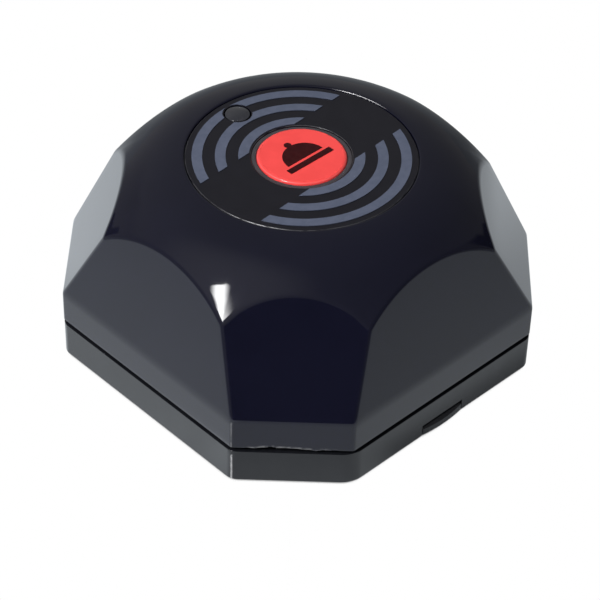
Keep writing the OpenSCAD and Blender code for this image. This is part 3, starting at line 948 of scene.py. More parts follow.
@dataclass
class Lid:
    """The domed cover: an eight-sided rim, eight leaning facets and a dome that they cut."""

    half_w: float = 35.0
    corner_cut: float = 14.0
    z_low: float = 7.7
    z_rim: float = 13.5
    long_lean: float = 15.8
    short_lean: float = 28.1
    wall: float = 2.2
    dome_r: float = 39.3
    dome_offset: float = 4.0
    dome_z: float = 2.3
    shoulder_at: float = 28.0
    shoulder_r: float = 16.0
    recess_r: float = 19.45
    recess_z: float = 36.05
    hole_r: float = 8.35
    led_y: float = 15.7
    led_hole_r: float = 2.35
    bore_under: float = 1.0
    bore_over: float = 0.4
    rim_round: Span = (1.0, 0.45)
    rim_rows: tuple[float, ...] = (-1.0, -0.7, -0.45, -0.25, -0.1, 0.1, 0.25, 0.45, 0.7, 1.0)
    low_reach: float = 0.22
    upright_reach: float = 0.4
    crease_reach: float = 0.8
    arch_reach: float = 0.95
    lip_reach: float = 0.5
    corner_margin: float = 1.8
    front: int = 5
    seam_humps: tuple[Triple, ...] = ((0.32, 0.36, 0.07), (0.47, 0.18, 0.08), (0.69, -0.18, 0.05))
    seam_ripple: float = 0.05
    ripple_rate: float = 61.0
    burr_h: float = 0.55
    # the next five fields: where and how strongly the trimmed front edge is marked for the painted glints of
    # its burr
    burr_from: float = 0.12
    burr_rate: float = 83.0
    burr_glint: float = 2.6
    burr_mean: float = 0.6
    burr_swing: float = 0.4
    long_steps: int = 44
    short_steps: int = 32
    main_rows: int = 4
    shoulder_rows: int = 18
    inner_main_rows: int = 1
    inner_rows: int = 6
    SIDES: ClassVar[int] = 8
    SLOPES: ClassVar[Span] = (0.3, 1.3)
    HALVINGS: ClassVar[int] = 60

    @property
    def shoulder_turn(self) -> float:
        """Slope angle where the shoulder arc takes over from the main arc."""
        return math.asin((self.shoulder_at - self.dome_offset) / self.dome_r)

    def dome_point(self, slope: float, inset: float) -> Span:
        """Find the dome's point that has a slope.

        Args:
            slope: The slope angle.
            inset: How far the dome is moved in.

        Returns:
            Distance from the axis, and height.
        """
        turn = self.shoulder_turn
        if slope >= turn:
            radius = self.dome_r - inset
            return self.dome_offset + radius * math.sin(slope), self.dome_z + radius * math.cos(slope)
        reach = self.dome_r - self.shoulder_r
        radius = self.shoulder_r - inset
        return (self.dome_offset + reach * math.sin(turn) + radius * math.sin(slope),
                self.dome_z + reach * math.cos(turn) + radius * math.cos(slope))

    def side(self, number: int) -> tuple[Vector, float, float]:
        """Describe one of the eight sides, which are long and short in turn.

        Args:
            number: The side.

        Returns:
            Its outward direction, distance from the axis and lean angle.
        """
        turn = math.radians(360 / self.SIDES * number)
        outward = Vector((math.cos(turn), math.sin(turn)))
        if number % 2 == 0:
            return outward, self.half_w, math.radians(self.long_lean)
        return outward, (2 * self.half_w - self.corner_cut) / math.sqrt(2), math.radians(self.short_lean)

    def reach(self, number: int, z: float, inset: float) -> float:
        """Work out how far one side stands from the axis at a height.

        The outer skin turns from the rim to the facet in an arc, the inner one at an edge.

        Args:
            number: The side.
            z: The height.
            inset: How far the side is moved in, square to its face.

        Returns:
            The distance.
        """
        _, distance, lean = self.side(number)
        tangent = 0.0 if inset else self.rim_round[number % 2]
        over = z - self.z_rim
        if over <= -tangent:
            return distance - inset
        if over >= tangent * math.cos(lean):
            return distance - inset / math.cos(lean) - math.tan(lean) * over
        radius = tangent / math.tan(lean / 2)
        return distance - radius + math.sqrt(radius ** 2 - (over + tangent) ** 2)

    def corner(self, number: int, z: float, inset: float) -> Vector:
        """Find the corner between one side and the side before it.

        Args:
            number: The side.
            z: The height.
            inset: How far the sides are moved in.

        Returns:
            The corner in the plane of that height.
        """
        first, second = self.side(number - 1)[0], self.side(number)[0]
        square = Matrix(((first.x, first.y), (second.x, second.y)))
        return square.inverted() @ Vector((self.reach(number - 1, z, inset), self.reach(number, z, inset)))

    def solve(self, rule: Callable[[float], float]) -> float:
        """Find the slope angle where a rising rule is zero.

        Args:
            rule: The rule, below zero at the flatter slopes.

        Returns:
            The slope angle.
        """
        low, high = self.SLOPES
        for _ in range(self.HALVINGS):
            middle = (low + high) / 2
            if rule(middle) < 0:
                low = middle
            else:
                high = middle
        return (low + high) / 2

    def dip(self, number: int, inset: float) -> float:
        """Find where the dome dips between one side and the side before it.

        Args:
            number: The side.
            inset: How far the skin is moved in.

        Returns:
            The dip's angle about the axis.
        """
        def outside(slope: float) -> float:
            """How far the dome stands outside the corner."""
            radius, z = self.dome_point(slope, inset)
            return radius - self.corner(number, z, inset).length

        slope = self.solve(outside)
        point = self.corner(number, self.dome_point(slope, inset)[1], inset)
        return math.atan2(point.y, point.x)

    def arch_slope(self, number: int, turn: float, inset: float) -> float:
        """Find where the dome meets one side's facet.

        Args:
            number: The side.
            turn: The angle about the axis.
            inset: How far the skin is moved in.

        Returns:
            The dome's slope angle there.
        """
        outward = self.side(number)[0]
        across = math.cos(turn - math.atan2(outward.y, outward.x))

        def outside(slope: float) -> float:
            """How far the dome stands outside the facet."""
            radius, z = self.dome_point(slope, inset)
            return radius * across - self.reach(number, z, inset)

        return self.solve(outside)

    def columns(self, inset: float) -> list[Column]:
        """Share out the columns of the skin, closer at the ends of each side.

        Args:
            inset: How far the skin is moved in.

        Returns:
            The columns in order round the axis.
        """
        found = []
        for number in range(self.SIDES):
            steps = self.short_steps if number % 2 else self.long_steps
            length = (self.corner(number + 1, self.z_low, 0.0) - self.corner(number, self.z_low, 0.0)).length
            margin = self.corner_margin / length
            first, last = self.dip(number, inset), self.dip(number + 1, inset)
            swing = (last - first) % (2 * math.pi)
            for step in range(steps):
                share = margin + (1 - 2 * margin) * (step - 1) / (steps - 2) if step else 0.0
                turn = first + swing * share
                found.append(Column(number, share, turn, self.arch_slope(number, turn, inset)))
        return found

    def level(self, columns: list[Column], z: float, inset: float) -> list[Vector]:
        """Lay a ring on the eight sides at a height.

        Args:
            columns: The skin's columns.
            z: The height.
            inset: How far the skin is moved in.

        Returns:
            The ring's points.
        """
        ring = []
        for column in columns:
            start, stop = self.corner(column.side, z, inset), self.corner(column.side + 1, z, inset)
            ring.append(Vector((*start.lerp(stop, column.share), z)))
        return ring

    def seam(self, columns: list[Column], over: float) -> list[Vector]:
        """Lay a ring by the cover's lower edge, which was trimmed unevenly on the front side.

        Args:
            columns: The skin's columns.
            over: How far over the lower edge.

        Returns:
            The ring's points.
        """
        ring = self.level(columns, self.z_low + over, 0.0)
        for point, column in zip(ring, columns):
            if column.side == self.front:
                point.z += self.seam_ripple * math.sin(self.ripple_rate * column.share)
                point.z += sum(height * math.exp(-((column.share - place) / spread) ** 2)
                               for place, height, spread in self.seam_humps)
        return ring

    def mark_burr(self, obj: Piece, columns: list[Column], ring: list[int]) -> None:
        """Mark the front side's trimmed edge for the pale edge colour, which paints glints on its burr in
        uneven strength.

        Args:
            obj: The cover.
            columns: The skin's columns.
            ring: Corners of the lower edge.
        """
        with opened(obj) as mesh:
            pale_edge = mesh.verts.layers.float.new(PALE_EDGE)
            mesh.verts.ensure_lookup_table()
            for column, corner in zip(columns, ring):
                if column.side == self.front and column.share > self.burr_from:
                    swing = self.burr_swing * math.sin(self.burr_rate * column.share)
                    mesh.verts[corner][pale_edge] = self.burr_glint * (self.burr_mean + swing)

    def dome_rows(self, columns: list[Column], inset: float, main_rows: int, shoulder_rows: int,
                  end: float) -> list[list[Vector]]:
        """Lay the rings of the dome from the facets' arches inward.

        Args:
            columns: The skin's columns.
            inset: How far the skin is moved in.
            main_rows: Rings on the main arc.
            shoulder_rows: Rings on the shoulder arc.
            end: Slope angle of the last ring.

        Returns:
            The rings, outermost first.
        """
        turn = self.shoulder_turn
        rows = []
        for row in range(main_rows + shoulder_rows + 1):
            ring = []
            for column in columns:
                if row <= main_rows:
                    slope = column.arch + (turn - column.arch) * row / main_rows
                else:
                    slope = turn + (end - turn) * (row - main_rows) / shoulder_rows
                radius, z = self.dome_point(slope, inset)
                ring.append(Vector((radius * math.cos(column.turn), radius * math.sin(column.turn), z)))
            rows.append(ring)
        return rows

    def build(self) -> Piece:
        """Draw the cover's outer and inner skin, round its edges and bore it.

        Returns:
            The cover.
        """
        outer, inner = self.columns(0.0), self.columns(self.wall)
        shoulder_x = self.dome_offset + (self.dome_r - self.shoulder_r) * math.sin(self.shoulder_turn)
        edge_slope = math.asin((self.recess_r - shoulder_x) / self.shoulder_r)
        under_z = self.dome_point(0.0, self.wall)[1]

        def circle(radius: float, z: float) -> list[Vector]:
            """A round ring about the axis."""
            return [Vector((radius * math.cos(c.turn), radius * math.sin(c.turn), z)) for c in outer]

        walls = [self.seam(outer, 0.0), self.seam(outer, self.burr_h),
                 *(self.level(outer, self.z_rim + row, 0.0) for row in self.rim_rows)]
        dome = self.dome_rows(outer, 0.0, self.main_rows, self.shoulder_rows, edge_slope)
        inside = self.dome_rows(inner, self.wall, self.inner_main_rows, self.inner_rows, 0.0)
        rings = [*walls, *dome, circle(self.recess_r, self.recess_z),
                 circle(self.hole_r, self.recess_z), circle(self.hole_r, under_z), *reversed(inside),
                 self.level(inner, self.z_rim, self.wall), self.level(inner, self.z_low, self.wall)]
        loft = RingLoft("lid_shell", rings, hollow=True)
        obj = loft.build()
        self.mark_burr(obj, outer, loft.index[0])
        table = self.roundings(loft, len(walls), len(walls) + len(dome) - 1)
        soften(obj, lambda edge: table.get(frozenset(v.index for v in edge.verts), 0.0))
        bore(obj, self.led_hole_r, Vector((0, self.led_y, 0)), under_z - self.bore_under,
             self.recess_z + self.bore_over)
        smooth(obj)
        return obj

    def roundings(self, loft: RingLoft, arch: int, lip: int) -> dict[frozenset[int], float]:
        """How far each edge's rounding reaches.

        Args:
            loft: The skin, drawn.
            arch: Ring where the facets meet the dome.
            lip: Ring of the overlay recess's upper edge.

        Returns:
            Reach in millimetres by pair of corners.
        """
        low, rim = 0, 2
        table = {}
        for ring, reach in ((low, self.low_reach), (arch, self.arch_reach), (lip, self.lip_reach)):
            table.update(dict.fromkeys(loft.along(ring), reach))
        column = 0
        for number in range(self.SIDES):
            table.update(dict.fromkeys(loft.across(column, low, rim), self.upright_reach))
            table.update(dict.fromkeys(loft.across(column, rim, arch), self.crease_reach))
            column += self.short_steps if number % 2 else self.long_steps
        return table

    def dress(self, paints: Paints) -> None:
        """Build the cover and let it stand for its node."""
        paints.stand_in(self.build(), "casing", "cover_gloss", "top_cover")


@dataclass
class Base:
    """The tray under the cover, its battery door and its four feet."""

    half_w: float = 35.0
    corner_cut: float = 14.0
    z_base: float = 0.5
    z_wall: float = 6.8
    wall_fold: float = 20.0
    upright_least: float = 5.0
    upright_reach: float = 0.95
    soft_upright_reach: float = 1.9
    bottom_reach: float = 0.15
    top_reach: float = 0.18
    notch_reach: float = 0.1
    arc_depth: float = 0.45
    tray_segments: int = 8
    door_reach: float = 0.12
    shade_angle: float = 30.0
    foot_r: float = 4.2
    foot_top: float = 1.3
    foot_round: float = 0.35
    foot_steps: int = 5
    foot_x: float = 22.5
    foot_y: float = 22.47
    dish_r: float = 0.4
    dish_depth: float = 0.12
    dish_slope_at: float = 0.6
    dish_slope_depth: float = 0.1
    dish_end_at: float = 0.75

    def on_wall(self, edge: Edge, slack: float) -> bool:
        """Tell whether a sharp edge lies on the tray's outer wall.

        Args:
            edge: The edge.
            slack: How far inside the tray's outline still counts, in millimetres.

        Returns:
            True on the wall.
        """
        depths = []
        for corner in edge.verts:
            x, y = abs(corner.co.x) / MM, abs(corner.co.y) / MM
            slanted = (2 * self.half_w - self.corner_cut - x - y) / math.sqrt(2)
            depths.append(min(self.half_w - x, self.half_w - y, slanted))
        return fold(edge) > self.wall_fold and max(depths) < slack

    def upright_rule(self, edge: Edge) -> float:
        """Round the outer wall's upright corners, softest beside the front.

        Args:
            edge: The edge.

        Returns:
            How far its rounding reaches, in millimetres, or 0.
        """
        first, second = (corner.co for corner in edge.verts)
        if abs(first.z - second.z) < self.upright_least * MM or not self.on_wall(edge, CLOSE):
            return 0.0
        soft = first.x < 0 and first.y < (CLOSE - self.half_w) * MM
        return self.soft_upright_reach if soft else self.upright_reach

    def level_rule(self, edge: Edge) -> float:
        """Round the outer wall's foot, rim and notch, once its upright corners are round.

        Args:
            edge: The edge.

        Returns:
            How far its rounding reaches, in millimetres, or 0.
        """
        if not self.on_wall(edge, self.arc_depth):
            return 0.0
        low, high = sorted(corner.co.z / MM for corner in edge.verts)
        if high < self.z_base + CLOSE:
            return self.bottom_reach
        return self.top_reach if low > self.z_wall - CLOSE else self.notch_reach

    def dress(self, paints: Paints) -> None:
        """Build the tray, the door and the feet, and let them stand for their nodes.

        Args:
            paints: The materials.
        """
        tray = casting("tray_shell", "base_tray")
        soften(tray, self.upright_rule, self.level_rule, segments=self.tray_segments)
        smooth(tray, self.shade_angle)
        paints.stand_in(tray, "casing", "base_black", "base_tray")
        door = casting("door_panel", "battery_door")
        soften(door, fold_over(SHARP_FOLD, self.door_reach))
        smooth(door, self.shade_angle)
        paints.stand_in(door, "door", "base_black", "battery_door")
        first = self.foot()
        paints.stand_in(first, "casing", "foot_rubber", "rubber_feet")
        shifts = ((2 * self.foot_x, 0.0), (0.0, 2 * self.foot_y), (2 * self.foot_x, 2 * self.foot_y))
        for number, shift in enumerate(shifts, 2):
            other = copy_to(first, f"foot_{number}", Vector((*shift, 0.0)))
            paints.stand_in(other, "casing", "foot_rubber", "rubber_feet")
        paints.dress_nodes("foam_grey", "door_pad")

    def foot(self) -> Piece:
        """Turn the first rubber foot, with a rounded edge and a shallow dish under it.

        Returns:
            The foot.
        """
        middle = (self.foot_r - self.foot_round, self.foot_round)
        edge = round_corner(middle, self.foot_round, DOWN, OUT, self.foot_steps)
        dish = [(self.dish_r, self.dish_depth), (self.foot_r * self.dish_slope_at, self.dish_slope_depth),
                (self.foot_r * self.dish_end_at, 0.0)]
        profile = [*dish, *edge, (self.foot_r, self.foot_top)]
        obj = turned("foot_1", profile, Vector((-self.foot_x, -self.foot_y, 0.0)), sides=SMALL_SIDES)
        smooth(obj)
        return obj


@dataclass
class Panel:
    """The round printed overlay on the dome, with the light that shows through it."""

    film_in: float = 8.4
    film_r: float = 19.3
    film_low: float = 36.05
    film_high: float = 36.55
    film_edge: float = 0.2
    film_sides: int = 180
    bore_over: float = 1.0
    led_y: float = 15.7
    led_hole_r: float = 2.35
    led_r: float = 2.1
    led_top: float = 36.85
    led_foot: float = 28.25
    led_flange_r: float = 2.478
    led_flange_t: float = 1.0
    led_ball_r: float = 7.35
    crown_end: float = 88.0
    crown_steps: int = 10
    led_fold: float = 32.0
    led_edge: float = 0.06
    led_shade_angle: float = 40.0

    def film(self) -> Piece:
        """Cut the film with its two holes.

        Returns:
            The film.
        """
        section = [(self.film_in, self.film_low), (self.film_r, self.film_low),
                   (self.film_r, self.film_high), (self.film_in, self.film_high)]
        obj = turned("overlay_disc", section, hollow=True, sides=self.film_sides)
        soften(obj, edges_at(self.film_high, self.film_edge))
        bore(obj, self.led_hole_r, Vector((0, self.led_y, 0)), self.film_low - self.bore_over,
             self.film_high + self.bore_over)
        smooth(obj)
        return obj

    def lens(self) -> Piece:
        """Turn the light's body with its flange and domed crown.

        Returns:
            The light.
        """
        rise = math.degrees(math.acos(self.led_r / self.led_ball_r))
        middle = (0.0, self.led_top - self.led_ball_r)
        crown = round_corner(middle, self.led_ball_r, rise, self.crown_end, self.crown_steps)
        flange_top = self.led_foot + self.led_flange_t
        profile = [(self.led_flange_r, self.led_foot), (self.led_flange_r, flange_top),
                   (self.led_r, flange_top), *crown]
        obj = turned("lens_body", profile, Vector((0, self.led_y, 0)), sides=SMALL_SIDES)
        soften(obj, fold_over(self.led_fold, self.led_edge))
        smooth(obj, self.led_shade_angle)
        return obj

    def dress(self, paints: Paints) -> None:
        """Build the film and the light, and dress the print and the light's wires.

        Args:
            paints: The materials.
        """
        paints.stand_in(self.film(), "casing", "overlay_film", "graphic_overlay")
        paints.stand_in(self.lens(), "casing", "led_smoke", "indicator_led")
        paints.dress_nodes("wave_ink", "wave_print")
        paints.dress_nodes("pin_tin", "led_leads")
        paints.dress_nodes("spacer_nylon", "led_spacer")


@dataclass
class Button:
    """The red push button in its grey ring."""

    cap_r: float = 7.53
    cap_top: float = 36.8
    cap_round: float = 0.6
    cap_segments: int = 6
    flange_r: float = 9.0
    flange_low: float = 31.9
    flange_high: float = 33.4
    stem_r: float = 2.2
    stem_low: float = 22.25
    ring_in: float = 7.57
    ring_out: float = 8.35
    ring_low: float = 33.45
    ring_step: float = 34.55
    ring_top: float = 36.36
    ring_foot_r: float = 10.0
    ring_edge: float = 0.12
    sides: int = 128

    def cap(self) -> Piece:
        """Turn the cap with its flange and stem.

        Returns:
            The cap.
        """
        profile = [(self.stem_r, self.stem_low), (self.stem_r, self.flange_low),
                   (self.flange_r, self.flange_low), (self.flange_r, self.flange_high),
                   (self.cap_r, self.flange_high), (self.cap_r, self.cap_top)]
        obj = turned("cap_red", profile, sides=self.sides)
        soften(obj, edges_at(self.cap_top, self.cap_round), segments=self.cap_segments)
        smooth(obj)
        return obj

    def ring(self) -> Piece:
        """Turn the ring round the cap.

        Returns:
            The ring.
        """
        section = [(self.ring_in, self.ring_low), (self.ring_foot_r, self.ring_low),
                   (self.ring_foot_r, self.ring_step), (self.ring_out, self.ring_step),
                   (self.ring_out, self.ring_top), (self.ring_in, self.ring_top)]
        obj = turned("ring_grey", section, hollow=True, sides=self.sides)
        soften(obj, edges_at(self.ring_top, self.ring_edge))
        smooth(obj)
        return obj

    def dress(self, paints: Paints) -> None:
        """Build the cap and the ring, and dress the mark on the cap.

        Args:
            paints: The materials.
        """
        paints.stand_in(self.cap(), "button", "button_red", "call_button")
        paints.stand_in(self.ring(), "casing", "ring_grey", "button_bezel")
        paints.dress_nodes("mark_ink", "button_mark")


@dataclass
class Battery:
    """The battery under the board, with its two contacts."""

    radius: float = 5.15
    back: float = -15.25
    front: float = 12.05
    y: float = -22.0
    z: float = 7.75
    edge: float = 0.5
    edge_steps: int = 5
    rear_share: float = 0.6
    head_share: float = 0.5

    def can(self) -> Piece:
        """Turn the can with its rolled ends.

        Returns:
            The can.
        """
        middle = self.radius - self.edge
        rear = round_corner((middle, self.back + self.edge), self.edge, DOWN, OUT, self.edge_steps)
        head = round_corner((middle, self.front - self.edge), self.edge, OUT, TOP, self.edge_steps)
        profile = [(self.radius * self.rear_share, self.back), *rear, *head,
                   (self.radius * self.head_share, self.front)]
        obj = turned("cell_can", profile, Vector((0, self.y, self.z)), Axis.ALONG)
        smooth(obj)
        return obj

    def dress(self, paints: Paints) -> None:
        """Build the can, and dress the terminal and the contacts."""
        paints.stand_in(self.can(), "casing", "cell_label", "battery_can")
        paints.dress_nodes("contact_steel", "battery_nub", "contact_plate", "contact_spring")


@dataclass
class Electronics:
    """The board with what is soldered to it, and the screws."""

    slots: dict[str, tuple[str, ...]] = field(default_factory=lambda: {
        "board_green": ("main_board",),
        "part_black": ("switch_body", "switch_plunger", "encoder_chip"),
        "can_metal": ("resonator_can", "switch_plate"),
        "pin_tin": ("switch_legs", "chip_pins"),
        "chip_ceramic": ("chip_parts",),
        "screw_steel": ("case_screws", "board_screws"),
    })

    def dress(self, paints: Paints) -> None:
        """Dress the nodes as they are."""
        for slot, nodes in self.slots.items():
            paints.dress_nodes(slot, *nodes)


# Studio

class Measure(Enum):
    """What the grey fields that the gloss mirrors are placed along, as the camera sees left and behind."""

    LEFT = "left"
    BEHIND = "behind"
    ASIDE = "left or right"
    X = "the frame's x"
    Y = "the frame's y"
    AWAY = "away from the middle"
    LEFT_SHARE = "left for each step away"
    BEHIND_SHARE = "behind for each step away"
    HEIGHT = "up"
    HORIZON = "up, tipped to the left"
    TILT = "up and behind"
    LAMP = "toward the side lamp"


class Ramp(NamedTuple):
    """A smooth change along one measure, from start at low to end at high, and level beyond them."""

    measure: Measure
    low: float
    high: float
    start: float = 0.0
    end: float = 1.0


Patch = tuple[Ramp, ...]


class Fields:
    """Soft grey fields on one sheet: a patch is its ramps multiplied, and patches can be added."""

    def __init__(self, sheet: NodeSheet, measures: dict[Measure, Socket]) -> None:
        """Keep the sheet, and the socket that gives each measure."""
        self.sheet = sheet
        self.measures = measures

    def patch(self, ramps: Patch) -> Socket:
        """One patch at each point."""
        bands = [self.sheet.band(self.measures[ramp.measure], *ramp[1:]) for ramp in ramps]
        return self.sheet.product(*bands)

    def total(self, patches: Iterable[Patch]) -> Socket:
        """Some patches added, at each point."""
        return self.sheet.chain("ADD", [self.patch(ramps) for ramps in patches])

    def lowered(self, level: Socket, share: Socket, shade: Patch) -> Socket:
        """A level taken down by a share of the way to a shade."""
        drop = self.sheet.maths("SUBTRACT", level, self.patch(shade))
        return self.sheet.maths("SUBTRACT", level, self.sheet.product(share, drop))


@dataclass(frozen=True)
class FloorLook:
    """The floor as the gloss mirrors it: two sides that fade outward, changed in places, and a shaded part.

    Each group of changes is added up, and the level is then multiplied by 1 more than that.
    """

    sides: tuple[Patch, ...] = ((Ramp(Measure.LEFT, 9.0, 22.0, 0.70, 1.08),),
                                (Ramp(Measure.LEFT, -30.0, -10.0, 0.06, 0.0),))
    fade: Patch = (Ramp(Measure.AWAY, 45.0, 130.0, 1.05, 0.90), Ramp(Measure.AWAY, 100.0, 300.0, 1.0, 0.35),
                   Ramp(Measure.LEFT, -55.0, -35.0, 0.92, 1.0))
    far_left: Patch = (Ramp(Measure.BEHIND, 5.0, 25.0, 0.0, 0.22), Ramp(Measure.LEFT, 20.0, 50.0))
    far_right: Patch = (Ramp(Measure.BEHIND, 20.0, 60.0, 0.0, 0.56),
                        Ramp(Measure.LEFT, -50.0, -20.0, 1.0, 0.0),
                        Ramp(Measure.LEFT, -67.0, -61.5, 0.4, 1.0))
    # painted shade: the mirrored floor darker close to the tray's right side
    close_right: Patch = (Ramp(Measure.Y, -40.5, -35.2, 0.0, -1.0), Ramp(Measure.LEFT, -15.0, -5.0, 1.0, 0.0),
                          Ramp(Measure.X, -18.0, -8.0), Ramp(Measure.X, 35.0, 45.0, 0.55, 0.0))
    strip: Patch = (Ramp(Measure.X, -41.5, -40.0), Ramp(Measure.X, -34.0, -33.0, 1.0, 0.0),
                    Ramp(Measure.Y, -21.5, -19.5))
    strip_tones: Patch = (Ramp(Measure.Y, -12.0, 8.0, 0.12, 0.0), Ramp(Measure.Y, -19.0, -9.0, 0.5, 0.0))
    ahead: Patch = (Ramp(Measure.BEHIND, -47.5, -41.0, 0.0, 0.15), Ramp(Measure.ASIDE, 8.0, 12.0, 1.0, 0.0))
    # painted shadow of the object: the mirrored floor behind it taken down toward the shade level below
    shaded: Patch = (Ramp(Measure.BEHIND_SHARE, 0.7, 0.88),)
    shade: Patch = (Ramp(Measure.LEFT_SHARE, -0.5, -0.1, 0.14, 0.27),)

    def level(self, sheet: NodeSheet) -> Socket:
        """Work out how bright the gloss sees the floor.

        Args:
            sheet: The floor's nodes.

        Returns:
            The level at each point.
        """
        enlarged = {0: sheet.place(), "Scale": 1 / MM}
        place = sheet.add("ShaderNodeVectorMath", enlarged, operation="SCALE").outputs["Vector"]
        left, behind = sheet.along(place, LEFT), sheet.along(place, BEHIND)
        away = sheet.add("ShaderNodeVectorMath", {0: place}, operation="LENGTH").outputs["Value"]
        fields = Fields(sheet, {
            Measure.LEFT: left,
            Measure.BEHIND: behind,
            Measure.ASIDE: sheet.maths("ABSOLUTE", left),
            Measure.X: sheet.along(place, X_AXIS),
            Measure.Y: sheet.along(place, Y_AXIS),
            Measure.AWAY: away,
            Measure.LEFT_SHARE: sheet.maths("DIVIDE", left, away),
            Measure.BEHIND_SHARE: sheet.maths("DIVIDE", behind, away),
        })
        strips = [(tone, *self.strip) for tone in self.strip_tones]
        level = sheet.product(fields.total(self.sides), fields.patch(self.fade))
        for changes in ([self.far_left], [self.far_right], [self.close_right], strips, [self.ahead]):
            level = sheet.product(level, sheet.maths("ADD", 1.0, fields.total(changes)))
        return fields.lowered(level, fields.patch(self.shaded), self.shade)


@dataclass(frozen=True)
class RoomLook:
    """The room as the gloss mirrors it: some glows, and a dark part low down with two gaps in it."""

    glows: tuple[Patch, ...] = (
        (Ramp(Measure.LEFT, -1.0, 1.0, 0.13, 0.30),),
        (Ramp(Measure.LAMP, 0.72, 0.99, 0.0, 0.25),),
        (Ramp(Measure.BEHIND, 0.82, 0.96, 0.0, 0.09), Ramp(Measure.HEIGHT, 0.35, 0.5, 1.0, 0.0),
         Ramp(Measure.ASIDE, 0.05, 0.3, 1.0, 0.0)),
        (Ramp(Measure.LEFT, 0.45, 0.75), Ramp(Measure.HEIGHT, 0.3, 0.42, -0.06, 0.0)),
    )
    dark: Patch = (Ramp(Measure.HORIZON, 0.295, 0.325, 1.0, 0.0), Ramp(Measure.TILT, 0.645, 0.68, 1.0, 0.0))
    gaps: tuple[Patch, ...] = (
        (Ramp(Measure.LEFT, 0.2, 0.5), Ramp(Measure.BEHIND, 0.36, 0.42, 1.0, 0.0)),
        (Ramp(Measure.LEFT, -0.5, -0.2, 0.7, 0.0), Ramp(Measure.BEHIND, 0.3, 0.4, 1.0, 0.0)),
    )
    shade: Patch = (Ramp(Measure.LEFT, -0.8, 0.8, 0.03, 0.07),)
    horizon_left: float = 0.1
    tilt_behind: float = 0.96
    tilt_left: float = 0.02

    def level(self, sheet: NodeSheet, lamp: Vector) -> Socket:
        """Work out how bright the gloss sees the room.

        Args:
            sheet: The room's nodes.
            lamp: Direction of the side lamp.

        Returns:
            The level in each direction.
        """
        heading = sheet.add("ShaderNodeTexCoord").outputs["Generated"]
        left, height = sheet.along(heading, LEFT), sheet.along(heading, UP)
        tilt = self.tilt_behind * Vector(BEHIND) + self.tilt_left * Vector(LEFT) + Vector(UP)
        fields = Fields(sheet, {
            Measure.LEFT: left,
            Measure.BEHIND: sheet.along(heading, BEHIND),
            Measure.ASIDE: sheet.maths("ABSOLUTE", left),
            Measure.HEIGHT: height,
            Measure.HORIZON: sheet.maths("ADD", height, sheet.product(left, self.horizon_left)),
            Measure.TILT: sheet.along(heading, tuple(tilt)),
            Measure.LAMP: sheet.along(heading, tuple(lamp)),
        })
        dark = sheet.product(fields.patch(self.dark), sheet.rest_of(fields.total(self.gaps)))
        return fields.lowered(fields.total(self.glows), dark, self.shade)


